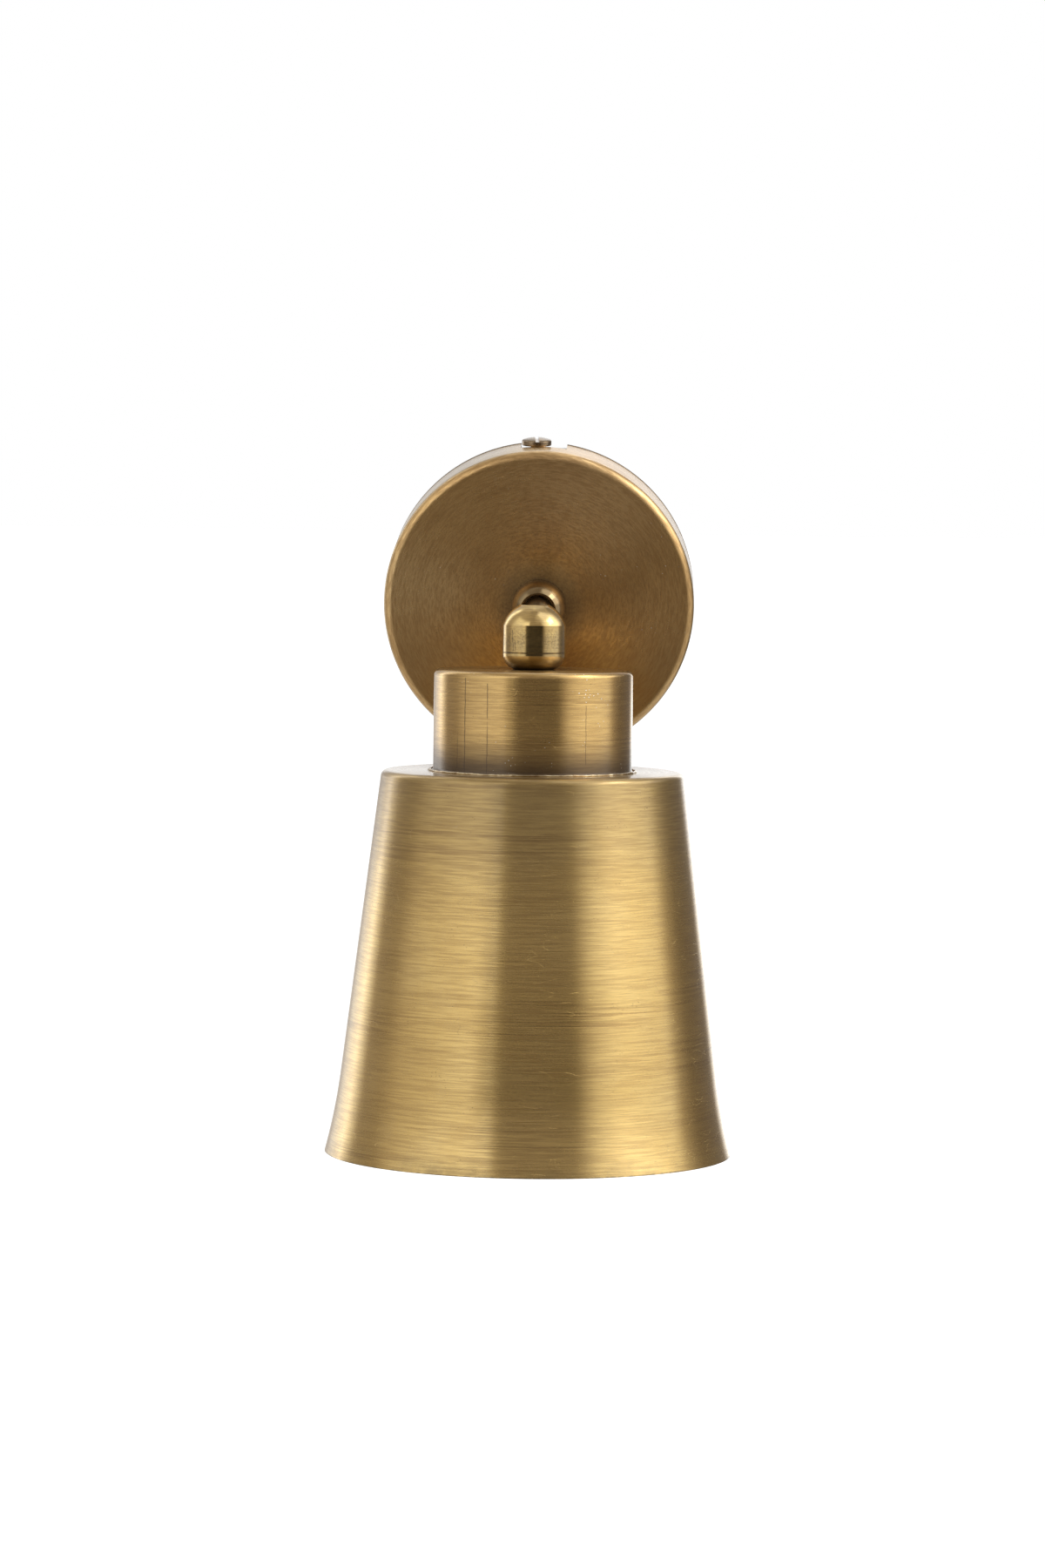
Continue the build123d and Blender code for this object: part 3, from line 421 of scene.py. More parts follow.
steel = {"metallic": 1.0, "glaze": 0.0, "grain": 1.0, "grainRough": 0.65, "grainDepth": 0.3,
         "roughGrain": 0.12, "roughClouds": 0.08, "markScale": 1500.0, "marks": 0.2, "markDepth": 0.6,
         "bump": 0.4, "bumpDepth": 0.01}
moulded = {"metallic": 0.0, "glaze": 0.0, "grain": 900.0, "grainRough": 0.6, "grainDepth": 0.3,
           "roughGrain": 0.12, "roughClouds": 0.0, "stretch": (1.0, 1.0, 1.0), "markScale": 1300.0,
           "marks": 0.2, "markDepth": 0.5, "bump": 0.3, "bumpDepth": 0.03, "roughness": 0.3}
sleeve = {**moulded, "grainDepth": 0.4, "stretch": (1.0, 1.0, 0.25), "cloudScale": 150.0, "marks": 0.15,
          "bump": 0.25, "roughness": 0.48}
plainLooks = {   # tones: plain, cloudy, grain, marks
    "zincSteel": {
        **steel, "tones": ((0.62, 0.63, 0.62), (0.50, 0.51, 0.52), (0.32, 0.32, 0.31), (0.32, 0.32, 0.31)),
        "stretch": (60.0, 900.0, 2200.0), "cloudScale": 130.0, "roughness": 0.26},
    "springSteel": {
        **steel, "tones": ((0.50, 0.50, 0.49), (0.40, 0.40, 0.41), (0.22, 0.22, 0.22), (0.22, 0.22, 0.22)),
        "stretch": (1500.0, 1500.0, 1500.0), "cloudScale": 200.0, "marks": 0.15, "roughness": 0.22},
    "terminalBrass": {
        **steel, "tones": ((0.80, 0.60, 0.27), (0.66, 0.46, 0.20), (0.40, 0.26, 0.10), (0.40, 0.26, 0.10)),
        "stretch": (300.0, 300.0, 2000.0), "cloudScale": 220.0, "roughness": 0.24},
    "blackPhenolic": {
        **moulded, "tones": ((0.022, 0.020, 0.019), (0.034, 0.030, 0.027), (0.06, 0.05, 0.045),
                             (0.16, 0.14, 0.12)),
        "grainDepth": 0.35, "cloudScale": 60.0, "marks": 0.16, "bump": 0.35},
    "whiteNylon": {
        **moulded, "tones": ((0.80, 0.78, 0.72), (0.74, 0.71, 0.63), (0.66, 0.63, 0.55), (0.35, 0.31, 0.25)),
        "grain": 1200.0, "cloudScale": 80.0, "marks": 0.14, "roughness": 0.42},
    "greasedNylon": {
        **moulded, "tones": ((0.30, 0.27, 0.21), (0.16, 0.13, 0.09), (0.40, 0.36, 0.28), (0.08, 0.06, 0.04)),
        "cloudScale": 240.0},
    "whiteCeramic": {
        **moulded, "tones": ((0.82, 0.80, 0.75), (0.78, 0.75, 0.68), (0.70, 0.66, 0.58), (0.42, 0.36, 0.28)),
        "grainDepth": 0.35, "grain": 700.0, "cloudScale": 110.0, "marks": 0.22, "bump": 0.4,
        "roughness": 0.28, "glaze": 0.5},
    "redFibre": {
        **moulded, "tones": ((0.34, 0.08, 0.05), (0.24, 0.055, 0.035), (0.46, 0.16, 0.10), (0.12, 0.04, 0.03)),
        "grainDepth": 0.5, "grain": 500.0, "stretch": (1.0, 5.0, 1.0), "cloudScale": 180.0, "bump": 0.5,
        "roughness": 0.6},
    "brownSleeve": {
        **sleeve, "tones": ((0.20, 0.085, 0.04), (0.15, 0.06, 0.03), (0.27, 0.13, 0.07), (0.4, 0.38, 0.33))},
    "blueSleeve": {
        **sleeve, "tones": ((0.035, 0.11, 0.38), (0.03, 0.085, 0.28), (0.08, 0.18, 0.46), (0.4, 0.38, 0.33))},
    "earthSleeve": {
        **sleeve, "tones": ((0.05, 0.27, 0.07), (0.04, 0.20, 0.05), (0.10, 0.34, 0.12), (0.4, 0.38, 0.33)),
        "stripe": (0.74, 0.62, 0.06)},
}
finishes.update({name: plainMaterial(name, look) for name, look in plainLooks.items()})
print("steel, plastic, ceramic and sleeve materials built")

# turning

def buildLathe():   # sweeps a profile of points round Z; a point's ridge value follows a screw thread
    web, source, target = geometryGroup("lathe", Segments="Int", Thread_Pitch="Float")
    rows = source["Segments"] + 1.0
    size = web.get("GeometryNodeAttributeDomainSize", {"Geometry": source["Geometry"]}, "Point Count")
    grid = web.get("GeometryNodeMeshGrid", {"Vertices X": size, "Vertices Y": rows}, "Mesh")
    index = web.get("GeometryNodeInputIndex")
    column = web.calc("FLOOR", (index + 0.5) / rows)
    angle = (index - column * rows) / source["Segments"] * math.tau

    def sampled(value, kind):   # the value at this column's point of the profile
        return web.get("GeometryNodeSampleIndex", {"Geometry": source["Geometry"], "Value": value,
                                                   "Index": column}, "Value", data_type=kind)

    radius, across, along = web.split(sampled(web.get("GeometryNodeInputPosition"), "FLOAT_VECTOR"))
    ridge = web.get("GeometryNodeInputNamedAttribute", {"Name": "ridge"}, "Attribute", data_type="FLOAT")
    wave = web.calc("SINE", along / source["Thread Pitch"] * math.tau + angle)
    radius = radius + wave * sampled(ridge, "FLOAT")
    point = web.join(radius * web.calc("COSINE", angle), radius * web.calc("SINE", angle), along)
    moved = web.get("GeometryNodeSetPosition", {"Geometry": grid, "Position": point})
    merged = web.get("GeometryNodeMergeByDistance", {"Geometry": moved, "Distance": 1e-6})
    return web.finish(merged, source, target)


lathe = buildLathe()


def arc(centre, radius, start, end, steps):   # points on an arc, degrees from the radius direction
    angles = [math.radians(start + (end - start) * i / steps) for i in range(steps + 1)]
    return [(centre[0] + radius * math.cos(a), centre[1] + radius * math.sin(a)) for a in angles]


def throughArc(first, middle, last, steps):   # points of the circle through three points
    ax, ay, bx, by, cx, cy = *first, *middle, *last
    d = 2 * (ax * (by - cy) + bx * (cy - ay) + cx * (ay - by))
    a2, b2, c2 = ax * ax + ay * ay, bx * bx + by * by, cx * cx + cy * cy
    centre = ((a2 * (by - cy) + b2 * (cy - ay) + c2 * (ay - by)) / d,
              (a2 * (cx - bx) + b2 * (ax - cx) + c2 * (bx - ax)) / d)
    start, end = (math.degrees(math.atan2(y - centre[1], x - centre[0])) for x, y in (first, last))
    return arc(centre, math.dist(centre, first), start, end, steps)


def linked(name, data):
    piece = bpy.data.objects.new(name, data)
    bpy.context.scene.collection.objects.link(piece)
    return piece


def drawn(name, draw):   # an object from what draw adds to an empty bmesh
    work = bmesh.new()
    draw(work)
    mesh = bpy.data.meshes.new(name)
    work.to_mesh(mesh)
    work.free()
    return linked(name, mesh)


def cutBox(low, high):   # corners in mm, in the piece's own turned space
    low, high = Vector(low) * mm, Vector(high) * mm
    place = Matrix.Translation((low + high) / 2) @ Matrix.Diagonal((*(high - low), 1.0))
    return drawn("cutBox", lambda work: bmesh.ops.create_cube(work, size=1.0, matrix=place))


def cutRod(radius, start, end):   # a round cutter from one point to another, in mm
    axis = (Vector(end) - Vector(start)) * mm
    turn = axis.to_track_quat("Z", "Y").to_matrix().to_4x4()
    place = Matrix.Translation((Vector(start) + Vector(end)) / 2 * mm) @ turn
    return drawn("cutRod", lambda work: bmesh.ops.create_cone(
        work, cap_ends=True, segments=64, radius1=radius * mm, radius2=radius * mm, depth=axis.length,
        matrix=place))


def evaluatedMesh(piece):   # the result of the piece's modifiers as a plain mesh; the piece is removed
    bpy.context.view_layer.update()
    depsgraph = bpy.context.evaluated_depsgraph_get()
    mesh = bpy.data.meshes.new_from_object(piece.evaluated_get(depsgraph))
    bpy.data.objects.remove(piece)
    return mesh


def smooth(mesh, crease):
    mesh.shade_smooth()
    mesh.set_sharp_from_angle(angle=math.radians(crease))


def grown(name, base, tree, values, crease):   # the base mesh after a geometry tree with these values
    blank = linked(name + "Base", base)
    modifier = blank.modifiers.new(tree.name, "NODES")
    modifier.node_group = tree
    for item in tree.interface.items_tree:
        if item.in_out == "INPUT" and item.name in values:
            modifier[item.identifier] = values[item.name]
    mesh = evaluatedMesh(blank)
    work = bmesh.new()
    work.from_mesh(mesh)
    bmesh.ops.remove_doubles(work, verts=work.verts, dist=2e-7)
    bmesh.ops.recalc_face_normals(work, faces=work.faces)
    work.to_mesh(mesh)
    work.free()
    smooth(mesh, crease)
    return mesh


def placed(name, mesh, place):
    mesh.transform(place)
    mesh.update()
    mesh.name = name
    return linked(name, mesh)


def turned(name, outline, finish, place, segments, ridges=None, threadPitch=1.0, cutters=(), crease=32):
    mesh = bpy.data.meshes.new(name + "Outline")
    mesh.from_pydata([(r * mm, 0, z * mm) for r, z in outline + outline[:1]],
                     [(i, i + 1) for i in range(len(outline))], [])
    ridges = ridges or [0.0] * len(outline)
    heights = [value * mm for value in ridges + ridges[:1]]
    mesh.attributes.new("ridge", "FLOAT", "POINT").data.foreach_set("value", heights)
    result = grown(name, mesh, lathe, {"Segments": segments, "Thread Pitch": threadPitch * mm,
                                       "Finish": finishes[finish]}, crease)
    if cutters:
        body = linked(name + "Uncut", result)
        for cutter in cutters:
            cut = body.modifiers.new("cut", "BOOLEAN")
            cut.solver = "EXACT"
            cut.operation = "DIFFERENCE"
            cut.object = cutter
        result = evaluatedMesh(body)
        for cutter in cutters:
            bpy.data.objects.remove(cutter)
        smooth(result, crease)
    return placed(name, result, place)


def settle(piece, body, slot, *nodes):
    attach(piece, body)
    if nodes:
        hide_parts(*nodes)


def makeTurned(node, body, slot, finish, outline, segments, **details):   # in place of its CAD node
    first, second = node.split("_")
    place = shadePlace if body == "shade" else wallPlace
    piece = turned(first + second.title(), outline, finish, place, segments, **details)
    settle(piece, body, slot, node)


# canopy

canopyHigh = localBox("canopy_cup", wallPlace)[1]
canopy = {"sheet": 1.0, "edge": 2.8, "rimRound": 0.3, "hole": 5.15, "notchLeft": -6.6, "notchRight": 8.25,
          "notchOut": 12.3}


def canopyOutline():
    radius, depth = canopyHigh[0], canopyHigh[2]
    edge, sheet, small = canopy["edge"], canopy["sheet"], canopy["rimRound"]
    bend = (radius - edge, depth - edge)
    points = arc((radius - sheet + small, small), small, 180, 270, 4)
    points += arc((radius - small, small), small, 270, 360, 4) + arc(bend, edge, 0, 90, 16)
    points += [(canopy["hole"], depth), (canopy["hole"], depth - sheet)]
    return points + arc(bend, edge - sheet, 90, 0, 10)


def notchBox(turn):   # 1 for the notch at the top, -1 for the one below
    sides = sorted((canopy["notchLeft"] * turn, canopy["notchRight"] * turn))
    ups = sorted((canopyHigh[0] / 2 * turn, (canopyHigh[0] + 1) * turn))
    return cutBox((sides[0], ups[0], -1), (sides[1], ups[1], canopy["notchOut"]))


makeTurned("canopy_cup", "wall_side", "antique_brass", "canopyBrass", canopyOutline(), 320,
           cutters=(notchBox(1), notchBox(-1)))
print("canopy made")

# collar

collarLow, collarHigh = localBox("joint_collar", wallPlace)
collar = {"straight": 3.4, "bore": 5.05, "lip": 0.7, "inside": 7.3, "seat": 4.1, "round": 0.25, "bulge": 0.93,
          "bulgeAt": 0.45}


def collarOutline():
    radius, front, back = collarHigh[0], collarHigh[2], collarLow[2]
    bore, small, start = collar["bore"], collar["round"], back + collar["straight"]
    middle = (radius * collar["bulge"], start + (front - start) * collar["bulgeAt"])
    points = [(collar["inside"], back), (radius - small, back)]
    points += arc((radius - small, back + small), small, 270, 360, 3)
    points += throughArc((radius, start), middle, (bore + collar["lip"], front), 18)
    points += arc((bore + small, front - small), small, 90, 180, 4)
    return points + [(bore, back + collar["seat"]), (collar["inside"], back + collar["seat"])]


makeTurned("joint_collar", "wall_side", "polished_brass", "collarBrass", collarOutline(), 192)
print("collar made")

# swivel barrel and its foot

barrelHigh = localBox("swivel_barrel", shadePlace)[1]
footLow, footHigh = localBox("barrel_foot", shadePlace)
barrel = {"socket": 7.05, "dome": 10.2, "slotHalf": 4.6, "lip": 0.18, "seamGroove": 0.16, "slotReach": 14}
foot = {"arc": 5.06, "inset": 3.8, "floor": 2.5, "hole": 5.05}


def barrelOutline():
    radius, top, seam = barrelHigh[0], barrelHigh[2], footHigh[2]
    lip, slot, dome, groove = barrel["lip"], barrel["slotHalf"], barrel["dome"], barrel["seamGroove"]
    socket = barrel["socket"]
    domeStart = math.degrees(math.asin((top - lip) / dome)) - 1.5
    domeEnd = math.degrees(math.acos(radius / dome))
    points = arc((slot + lip, top - lip), lip, 180, 90, 4) + arc((0, 0), dome, domeStart, domeEnd, 26)
    points += [(radius, seam + groove), (radius - groove, seam), (socket, seam), (socket, 0)]
    return points + arc((0, 0), socket, 6, math.degrees(math.acos(slot / socket)), 14)


def footOutline():
    radius, low, seam = footHigh[0], footLow[2], footHigh[2]
    centre, floorTop, groove = radius - foot["arc"], low + foot["floor"], barrel["seamGroove"]
    reach = radius - foot["inset"] - centre
    start = low + math.sqrt(foot["arc"] ** 2 - reach ** 2)
    points = [(barrel["socket"], seam), (radius - groove, seam), (radius, seam - groove)]
    points += arc((centre, start), foot["arc"], 0, -math.degrees(math.acos(reach / foot["arc"])), 18)
    return points + [(foot["hole"], low), (foot["hole"], floorTop), (barrel["socket"], floorTop)]


slotHalf, slotReach = barrel["slotHalf"], barrel["slotReach"]
makeTurned("swivel_barrel", "shade", "polished_brass", "swivelBrass", barrelOutline(), 256,
           cutters=(cutBox((-slotHalf, 0, 0), (slotHalf, slotReach, slotReach)),
                    cutRod(slotHalf, (0, 0, 0), (0, slotReach, 0))), crease=14)
makeTurned("barrel_foot", "shade", "polished_brass", "swivelBrass", footOutline(), 256)
print("swivel made")

# shade

capLow, capHigh = localBox("shade_cap", shadePlace)
coneLow, coneHigh = localBox("shade_cone", shadePlace)
cap = {"sheet": 1.0, "edge": 1.8, "foot": 1.0, "hole": 5.15}
cone = {"shoulder": 47.0, "shoulderRound": 2.0, "sheet": 1.0, "flare": 25.0, "flareWidth": 1.7, "opening": 30.0}


def capOutline():
    radius, top, low = capHigh[0] - cap["foot"], capHigh[2], capLow[2]
    sheet, edge, flare = cap["sheet"], cap["edge"], cap["foot"]
    bend = (radius - edge, top - edge)
    points = [(radius - sheet, low), (radius + flare, low)]
    points += arc((radius + flare, low + flare), flare, 270, 180, 6)[1:] + arc(bend, edge, 0, 90, 14)
    return points + [(cap["hole"], top), (cap["hole"], top - sheet)] + arc(bend, edge - sheet, 90, 0, 8)


def coneOutline():
    top, low, rim = coneHigh[2], coneLow[2], coneHigh[0]
    shoulder, curve, sheet = cone["shoulder"], cone["shoulderRound"], cone["sheet"]
    flareTop = low + cone["flare"]
    slope = math.atan((rim - cone["flareWidth"] - shoulder) / (top - low))
    flareStart = shoulder + (top - flareTop) * math.tan(slope)
    centre = (shoulder - curve * math.tan((math.pi / 2 - slope) / 2), top - curve)

    def flank(offset):   # the flare: an arc tangent to the straight flank
        chord = Vector((rim - flareStart, low - flareTop))
        across = Vector((math.cos(slope), math.sin(slope)))
        bendRadius = chord.length_squared / (2 * chord.dot(across))
        turn = 2 * math.asin(chord.length / (2 * bendRadius))
        middle = Vector((flareStart - offset, flareTop)) + across * bendRadius
        begin = math.degrees(math.atan2(-across.y, -across.x))
        return arc(middle, bendRadius, begin, begin + math.degrees(turn), 14)

    outer = arc(centre, curve, 90, math.degrees(slope), 12) + flank(0.0)
    inner = flank(sheet / math.cos(slope))[::-1] + arc(centre, curve - sheet, math.degrees(slope), 90, 8)
    return [(cone["opening"], top)] + outer + inner + [(cone["opening"], top - sheet)]


makeTurned("shade_cap", "shade", "antique_brass", "capBrass", capOutline(), 320)
makeTurned("shade_cone", "shade", "antique_brass", "coneBrass", coneOutline(), 384)
print("shade made")

# brazed seam between the shade's two pieces: an uneven bead, made from a circle and a small profile

def buildBead():
    web, source, target = geometryGroup("brazeBead", Ring_Radius="Float", Bead_Radius="Float",
                                        Unevenness="Float", Lump_Scale="Float", Seed="Float")
    ring, section = [web.get("GeometryNodeCurvePrimitiveCircle", {"Resolution": count, "Radius": source[label]},
                             "Curve") for count, label in ((360, "Ring Radius"), (12, "Bead Radius"))]
    tube = web.get("GeometryNodeCurveToMesh", {"Curve": ring, "Profile Curve": section})
    lump = web.noise(web.get("GeometryNodeInputPosition"), source["Lump Scale"], 3.0, fourth=source["Seed"])
    swell = (lump - 0.55) * source["Unevenness"]
    offset = web.get("ShaderNodeVectorMath", {0: web.get("GeometryNodeInputNormal"), "Scale": swell},
                     operation="SCALE")
    return web.finish(web.get("GeometryNodeSetPosition", {"Geometry": tube, "Offset": offset}), source, target)


bead = {"radius": 0.42, "uneven": 0.9, "lumps": 260.0, "seed": 4.0, "beside": 0.15, "sink": 0.5}
beadHeight = (coneHigh[2] + bead["radius"] * bead["sink"]) * mm
seamMesh = grown("brazedSeam", bpy.data.meshes.new("seamBase"), buildBead(), {
    "Ring Radius": (capHigh[0] + bead["beside"]) * mm, "Bead Radius": bead["radius"] * mm,
    "Unevenness": bead["uneven"] * mm, "Lump Scale": bead["lumps"], "Seed": bead["seed"],
    "Finish": finishes["solderBrass"]}, 80)
settle(placed("brazedSeam", seamMesh, shadePlace @ Matrix.Translation((0, 0, beadHeight))), "shade",
       "antique_brass")
print("seam made")

# arm

armLow, armHigh = localBox("swivel_arm", wallPlace)
arm = {"radius": 4.25, "bore": 2.6, "tail": 3.45, "spigot": 3.15, "flangeBack": 27.24, "flangeFront": 28.64,
       "shoulder": 74.02, "edge": 0.2}


def armOutline():
    flange, start, end, front = armHigh[0], armLow[2], armHigh[2], arm["flangeFront"]
    bore, tail, spigot, edge = arm["bore"], arm["tail"], arm["spigot"], arm["edge"]
    return [(bore, start), (tail - edge, start), (tail, start + edge), (tail, arm["flangeBack"]),
            (flange, arm["flangeBack"]), (flange, front - edge), (flange - edge, front),
            (arm["radius"], front), (arm["radius"], arm["shoulder"]), (spigot, arm["shoulder"]),
            (spigot, end - edge), (spigot - edge, end), (bore, end)]


makeTurned("swivel_arm", "arm", "dark_brass", "armBrass", armOutline(), 96)
print("arm made")

# canopy screws: one blank set at each notch by Geometry Nodes, with its driver slot front to back

screwHigh = localBox("canopy_screws", wallPlace)[1]
screw = {"headRadius": 4.8, "headHeight": 2.6, "crown": 0.9, "edge": 0.35, "shank": 1.95, "point": 0.5,
         "undercut": 0.15, "reach": 8.0, "slot": 1.2, "slotDepth": 1.1, "beside": -1.5, "out": 8.5,
         "turns": (4.0, -11.0)}


def screwOutline():
    r, h, edge, crown = screw["headRadius"], screw["headHeight"], screw["edge"], screw["crown"]
    tip, shank, point = -screw["reach"], screw["shank"], screw["point"]
    points = [(0, tip), (shank - point, tip), (shank, tip + point), (shank, 0), (r - screw["undercut"], 0)]
    points += arc((r - edge, edge), edge, -30, 0, 3) + [(r, h - crown - edge)]
    points += arc((r - edge, h - crown - edge), edge, 15, 60, 4)
    crownRadius = (r ** 2 + crown ** 2) / (2 * crown)
    reach = math.degrees(math.asin((r - edge) / crownRadius))
    return points + arc((0, h - crownRadius), crownRadius, 90 - reach, 90, 10)


def buildScrewSet():
    web, source, target = geometryGroup("screwSet", Blank="Object")
    turn = web.get("GeometryNodeInputNamedAttribute", {"Name": "turn"}, "Attribute", data_type="FLOAT_VECTOR")
    blank = web.get("GeometryNodeObjectInfo", {"Object": source["Blank"], "As Instance": True}, "Geometry")
    heads = web.get("GeometryNodeInstanceOnPoints", {
        "Points": source["Geometry"], "Instance": blank,
        "Rotation": web.get("FunctionNodeEulerToRotation", {0: turn})})
    return web.finish(heads, source, target)


slotHalf, slotOut = screw["slot"] / 2, screw["headRadius"] + 1
driverSlot = cutBox((-slotHalf, -slotOut, screw["headHeight"] - screw["slotDepth"]),
                    (slotHalf, slotOut, screw["headHeight"] + 1))
blankScrew = turned("screwBlank", screwOutline(), "screwBrass", Matrix.Identity(4), 64, cutters=(driverSlot,))
points, turns = [], []
for side, twist in zip((1, -1), screw["turns"]):   # each head's axis points away from the canopy's middle
    points.append((side * screw["beside"] * mm, side * (screwHigh[1] - screw["headHeight"]) * mm,
                   screw["out"] * mm))
    turn = Matrix.Rotation(math.radians(-90 * side), 3, "X") @ Matrix.Rotation(math.radians(twist), 3, "Z")
    turns.extend(turn.to_euler())
screwBase = bpy.data.meshes.new("screwPlaces")
screwBase.from_pydata(points, [], [])
screwBase.attributes.new("turn", "FLOAT_VECTOR", "POINT").data.foreach_set("vector", turns)
screwMesh = grown("canopyScrews", screwBase, buildScrewSet(), {
    "Blank": blankScrew, "Finish": finishes["screwBrass"]}, 32)
bpy.data.objects.remove(blankScrew)
settle(placed("canopyScrews", screwMesh, wallPlace), "wall_side", "dark_brass", "canopy_screws")
print("screws made")

# lampholder

domeLow, domeHigh = localBox("holder_dome", shadePlace)
skirtLow, skirtHigh = localBox("holder_skirt", shadePlace)
shellLow, shellHigh = localBox("screw_shell", shadePlace)
holder = {"neck": 8.0, "neckLow": -23.5, "tubeHole": 5.05, "wall": 2.0, "edge": 0.5, "taper": 1.5, "bore": 14.2,
          "coreBore": 15.5, "ledge": -47.2, "grooves": 4, "grooveFirst": 8.0, "groovePitch": 4.0,
          "grooveWide": 1.6, "grooveDeep": 0.8, "grooveSide": 0.25, "round": 0.4, "corner": 0.3,
          "outerBulge": (0.86, 2.0), "innerBulge": (0.84, 0.2), "gap": 0.02, "threadGap": 0.05, "drop": 0.5,
          "mouth": 1.0}
shell = {"crest": 13.3, "sheet": 0.4, "neckInset": 0.9, "neckLow": -50.5, "collar": 15.0, "collarBack": -47.1,
         "pitch": 3.62, "wave": 0.3, "steps": 96, "fadeSteps": 8, "shoulderRise": 0.3, "innerGap": 0.05}


def domeOutline():
    radius, top, low, edge = domeHigh[0], domeHigh[2], domeLow[2], holder["edge"]
    skirtTop, neck, hole, neckLow = skirtHigh[2], holder["neck"], holder["tubeHole"], holder["neckLow"]
    joint, middle = radius - holder["wall"], (neckLow + skirtTop) / 2
    (wide, rise), (innerWide, innerRise) = holder["outerBulge"], holder["innerBulge"]
    outer = throughArc((neck, neckLow), (radius * wide, middle + rise), (radius, skirtTop), 24)
    inner = throughArc((joint, skirtTop), (joint * innerWide, middle + innerRise), (hole, neckLow), 16)
    points = [(hole, top)] + arc((neck - edge, top - edge), edge, 90, 0, 5) + outer
    points += arc((radius - edge / 2, low + edge / 2), edge / 2, 0, -90, 4)
    return points + [(joint, low)] + inner


def skirtOutline():
    radius, top, low, face = skirtHigh[0], domeLow[2] - holder["gap"], skirtLow[2], skirtHigh[2]
    joint, curve, corner = radius - holder["wall"] - holder["threadGap"], holder["round"], holder["corner"]
    mouth = holder["mouth"]
    bore, coreBore, ledge = holder["bore"], holder["coreBore"], holder["ledge"]
    half, deep, inset = holder["grooveWide"] / 2, holder["grooveDeep"], holder["grooveSide"]

    def side(z):   # the skirt tapers towards its mouth
        return radius - (top - z) / (top - low - mouth) * holder["drop"]

    points = [(bore, low)] + arc((radius - holder["taper"] - curve, low + curve), curve, 270, 330, 3)
    points += [(side(low + mouth), low + mouth)]
    for i in reversed(range(holder["grooves"])):
        z = top - holder["grooveFirst"] - i * holder["groovePitch"] + half
        points += [(side(z - half), z - half), (side(z) - deep, z - half + inset),
                   (side(z) - deep, z + half - inset), (side(z + half), z + half)]
    points += [(radius, top - corner), (radius - corner, top), (joint, top), (joint, face), (coreBore, face)]
    return points + [(coreBore, ledge), (bore, ledge)]


def shellOutline():   # rolled thread below, drawn-in neck and clamped collar above
    low, top, count = shellLow[2], shellHigh[2], shell["steps"]
    crest, sheet, neckLow = shell["crest"], shell["sheet"], shell["neckLow"]
    neck = crest - shell["neckInset"]
    shoulder, collar, collarBack = neckLow + shell["shoulderRise"], shell["collar"], shell["collarBack"]
    heights = [low + (neckLow - low) * i / count for i in range(count + 1)]
    fade = [min(1.0, i / shell["fadeSteps"], (count - i) / shell["fadeSteps"]) * shell["wave"]
            for i in range(count + 1)]
    outer = [(crest + sheet, z) for z in heights] + [(neck + sheet, shoulder + sheet)]
    outer += [(neck + sheet, collarBack), (collar, collarBack), (collar, top)]
    inner = [(neck, top), (neck, shoulder)] + [(crest + shell["innerGap"], z) for z in reversed(heights)]
    return outer + inner, fade + [0.0] * 6 + fade[::-1]


makeTurned("holder_dome", "shade", "black_plastic", "blackPhenolic", domeOutline(), 160)
makeTurned("holder_skirt", "shade", "black_plastic", "blackPhenolic", skirtOutline(), 160)
shellPoints, shellRidges = shellOutline()
makeTurned("screw_shell", "shade", "terminal_brass", "shellBrass", shellPoints, 128,
           ridges=shellRidges, threadPitch=shell["pitch"])
print("lampholder made")

# finishes for the CAD nodes that stay

nodeFinishes = {
    "zincSteel": ["wall_bracket", "canopy_washer", "canopy_nut", "terminal_screws", "block_screw",
                  "earth_screw", "earth_washer", "earth_ring", "shade_tube", "cap_washer", "cap_nut",
                  "holder_grub", "contact_screws"],
    "springSteel": ["collar_spring", "seat_spring"],
    "terminalBrass": ["collar_nipple", "terminal_inserts", "centre_contact", "side_contact"],
    "swivelBrass": ["joint_ball"],
    "whiteNylon": ["terminal_block"],
    "greasedNylon": ["ball_seat"],
    "whiteCeramic": ["holder_core"],
    "redFibre": ["fibre_washer"],
    "brownSleeve": ["live_lead_canopy", "live_lead_arm", "live_lead_shade"],
    "blueSleeve": ["neutral_lead_canopy", "neutral_lead_arm", "neutral_lead_shade"],
    "earthSleeve": ["earth_lead"],
}
for finish, nodes in nodeFinishes.items():
    for node in nodes:
        for materialSlot in frame["nodes"][node].material_slots:
            materialSlot.material = finishes[finish]
print("finishes set on", sum(len(nodes) for nodes in nodeFinishes.values()), "CAD nodes")

# stage, light and camera

aim = Vector((0, -0.06, -0.06))

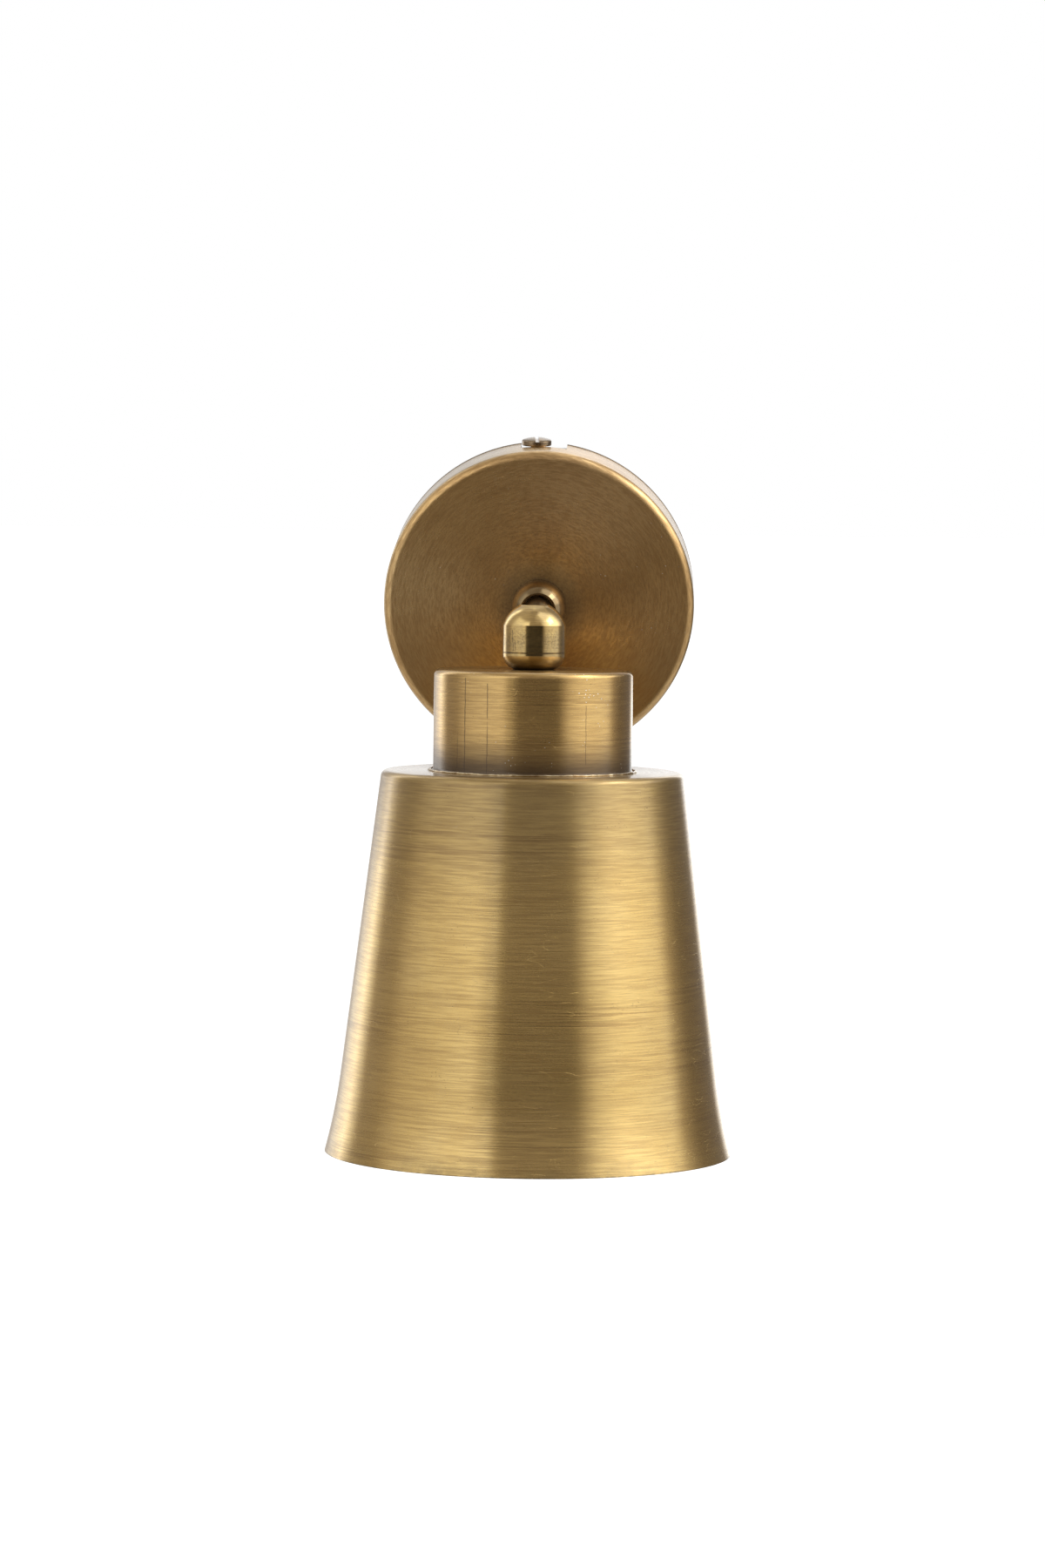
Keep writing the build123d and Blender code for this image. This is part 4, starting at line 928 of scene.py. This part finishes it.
# The tent is a round soft screen that only lights and reflects. Its brightness goes by direction: degrees round
# from the viewer (right is plus), for the level band, the low one, the raised one, the high one and the top.
tent = {
    "radius": 2.4, "segments": 96, "rings": 48, "lowFrom": 1.0, "lowTo": -9.0, "raisedFrom": 8.0,
    "raisedTo": 18.0, "highFrom": 44.0, "highTo": 58.0, "topFrom": 74.0, "topTo": 84.0, "top": 0.4,
    "shadeTint": (1.0, 0.88, 0.78),
    "level": [(-180, 1.2), (-170, 1.0), (-161, 0.5), (-148, 0.55), (-139, 0.9), (-132, 2.0), (-125, 0.9),
              (-116, 0.3), (-98, 0.32), (-84, 0.6), (-58, 0.75), (-33, 0.8), (-26, 0.04), (31, 0.03),
              (44, 0.65), (60, 0.85), (96, 0.95), (106, 0.35), (118, 0.2), (150, 0.16), (158, 0.5),
              (164, 2.0), (171, 1.3), (180, 1.2)],
    "low": [(-180, 1.2), (-161, 0.5), (-132, 1.6), (-116, 0.35), (-84, 0.6), (-33, 0.7), (-24, 0.26),
            (30, 0.24), (44, 0.65), (96, 0.95), (106, 0.4), (118, 0.2), (150, 0.2), (164, 1.6),
            (180, 1.2)],
    "raised": [(-180, 1.2), (-170, 1.0), (-161, 0.55), (-148, 0.65), (-139, 1.0), (-132, 2.2), (-125, 1.0),
               (-116, 0.42), (-98, 0.52), (-84, 0.88), (-58, 1.1), (-23, 1.2), (-18, 0.38), (31, 0.36),
               (47, 1.15), (60, 1.75), (75, 2.1), (92, 2.3), (104, 2.2), (112, 1.7), (121, 1.0),
               (132, 0.4), (150, 0.3), (158, 0.5), (164, 1.8), (180, 1.2)],
    "high": [(-180, 0.9), (-120, 0.5), (-30, 0.4), (0, 0.35), (40, 0.7), (60, 1.5), (100, 1.6), (125, 0.5),
             (180, 0.9)],
}


def directionRamp(web, turnValue, stops, brightest):
    shade = web.get("ShaderNodeValToRGB", {0: turnValue})
    elements = shade.socket.node.color_ramp.elements
    while len(elements) < len(stops):
        elements.new(0.5)
    for element, (degrees, value) in zip(elements, stops):
        element.position = (degrees + 180) / 360
        element.color = (*[value / brightest] * 3, 1.0)
    return shade * brightest


def drawTent(work):
    bmesh.ops.create_uvsphere(work, u_segments=tent["segments"], v_segments=tent["rings"],
                              radius=tent["radius"])
    bmesh.ops.translate(work, verts=work.verts, vec=aim)
    bmesh.ops.reverse_faces(work, faces=work.faces)


def makeTent():
    material, web, shader = startMaterial("tentGlow")
    web.tree.nodes.remove(web.tree.nodes["Principled BSDF"])
    offset = web.vector("SUBTRACT", web.get("ShaderNodeTexCoord", out="Object"), tuple(aim))
    x, y, z = web.split(web.vector("NORMALIZE", offset))
    turnValue = web.calc("ARCTAN2", x, y * -1.0) * (1 / math.tau) + 0.5
    rise = web.calc("ARCSINE", z) * (180 / math.pi)
    bands = ("level", "low", "raised", "high")
    brightest = max(value for band in bands for degrees, value in tent[band])
    glow, *others = [directionRamp(web, turnValue, tent[band], brightest) for band in bands]
    for band, there in (*zip(bands[1:], others), ("top", tent["top"])):
        glow = web.ramp(rise, tent[band + "From"], tent[band + "To"]) * (there - glow) + glow
    tint = web.blend(web.ramp(glow, 0.1, 1.0), tent["shadeTint"], (1.0, 1.0, 1.0))
    lamp = web.get("ShaderNodeEmission", {"Color": tint, "Strength": glow})
    web.fill(web.tree.nodes["Material Output"].inputs, {"Surface": lamp})
    piece = drawn("tent", drawTent)
    piece.data.materials.append(material)
    piece.visible_camera = False
    piece.visible_shadow = False


def direction(azimuth, rise):   # degrees round from the front (right is plus) and degrees up
    a, e = math.radians(azimuth), math.radians(rise)
    return Vector((math.sin(a) * math.cos(e), -math.cos(a) * math.cos(e), math.sin(e)))


def seenRays(web):   # camera rays, and all that show the surround: straight, mirrored or through glass
    straight, mirrored, through = [web.get("ShaderNodeLightPath", out="Is " + kind + " Ray")
                                   for kind in ("Camera", "Glossy", "Transmission")]
    return straight, web.most(web.most(straight, mirrored), through)


makeTent()

softbox = {"azimuth": 82, "rise": 42, "away": 1.6, "wide": 0.6, "tall": 0.45, "radiance": 2.8}
lampData = bpy.data.lights.new("softbox", "AREA")
lampData.shape = "RECTANGLE"
lampData.size = softbox["wide"]
lampData.size_y = softbox["tall"]
lampData.energy = softbox["radiance"] * math.pi * softbox["wide"] * softbox["tall"]
lampPiece = linked("softbox", lampData)
lampPiece.location = aim + softbox["away"] * direction(softbox["azimuth"], softbox["rise"])
lampPiece.rotation_euler = (aim - lampPiece.location).to_track_quat("-Z", "Y").to_euler()

world = bpy.data.worlds.new("studio")
bpy.context.scene.world = world
world.use_nodes = True
web = Web(world.node_tree)
web.fill(web.tree.nodes["Background"].inputs, {"Color": (1.0, 1.0, 1.0),
                                               "Strength": web.most(seenRays(web)[1], 0.6)})

floor = {"height": -1.3, "half": 9.0}
floorMesh = bpy.data.meshes.new("floor")
corners = [(x * floor["half"], y * floor["half"], floor["height"])
           for x, y in ((-1, -1), (1, -1), (1, 1), (-1, 1))]
floorMesh.from_pydata(corners, [], [(0, 1, 2, 3)])
floorPiece = linked("floor", floorMesh)
floorMaterial, web, shader = startMaterial("paleFloor")
cameraRay, anyRay = seenRays(web)
web.fill(shader, {"Base Color": (0.9, 0.9, 0.9), "Roughness": 0.9, "Emission Color": (1.0, 1.0, 1.0),
                  "Emission Strength": web.most(cameraRay * 0.6, anyRay * 0.25)})
floorMesh.materials.append(floorMaterial)

view = {"focal": 114.64, "azimuth": 1.544, "elevation": 11.215, "roll": 0.529, "distance": 1.60258,
        "target": (-0.004261, -0.040, -0.055411)}
cameraData = bpy.data.cameras.new("viewer")
cameraData.lens = view["focal"]
cameraData.sensor_width = 36.0
cameraData.clip_start = 0.05
cameraData.clip_end = 50.0
camera = linked("viewer", cameraData)
back = direction(view["azimuth"], view["elevation"])
right = (-back).cross(Vector((0, 0, 1))).normalized()
level = Matrix((right, right.cross(-back), back)).transposed().to_4x4()
place = Matrix.Translation(Vector(view["target"]) + back * view["distance"])
camera.matrix_world = place @ level @ Matrix.Rotation(math.radians(view["roll"]), 4, "Z")
bpy.context.scene.camera = camera
bpy.context.scene.view_settings.view_transform = "Standard"
print("stage, lamps and camera placed")
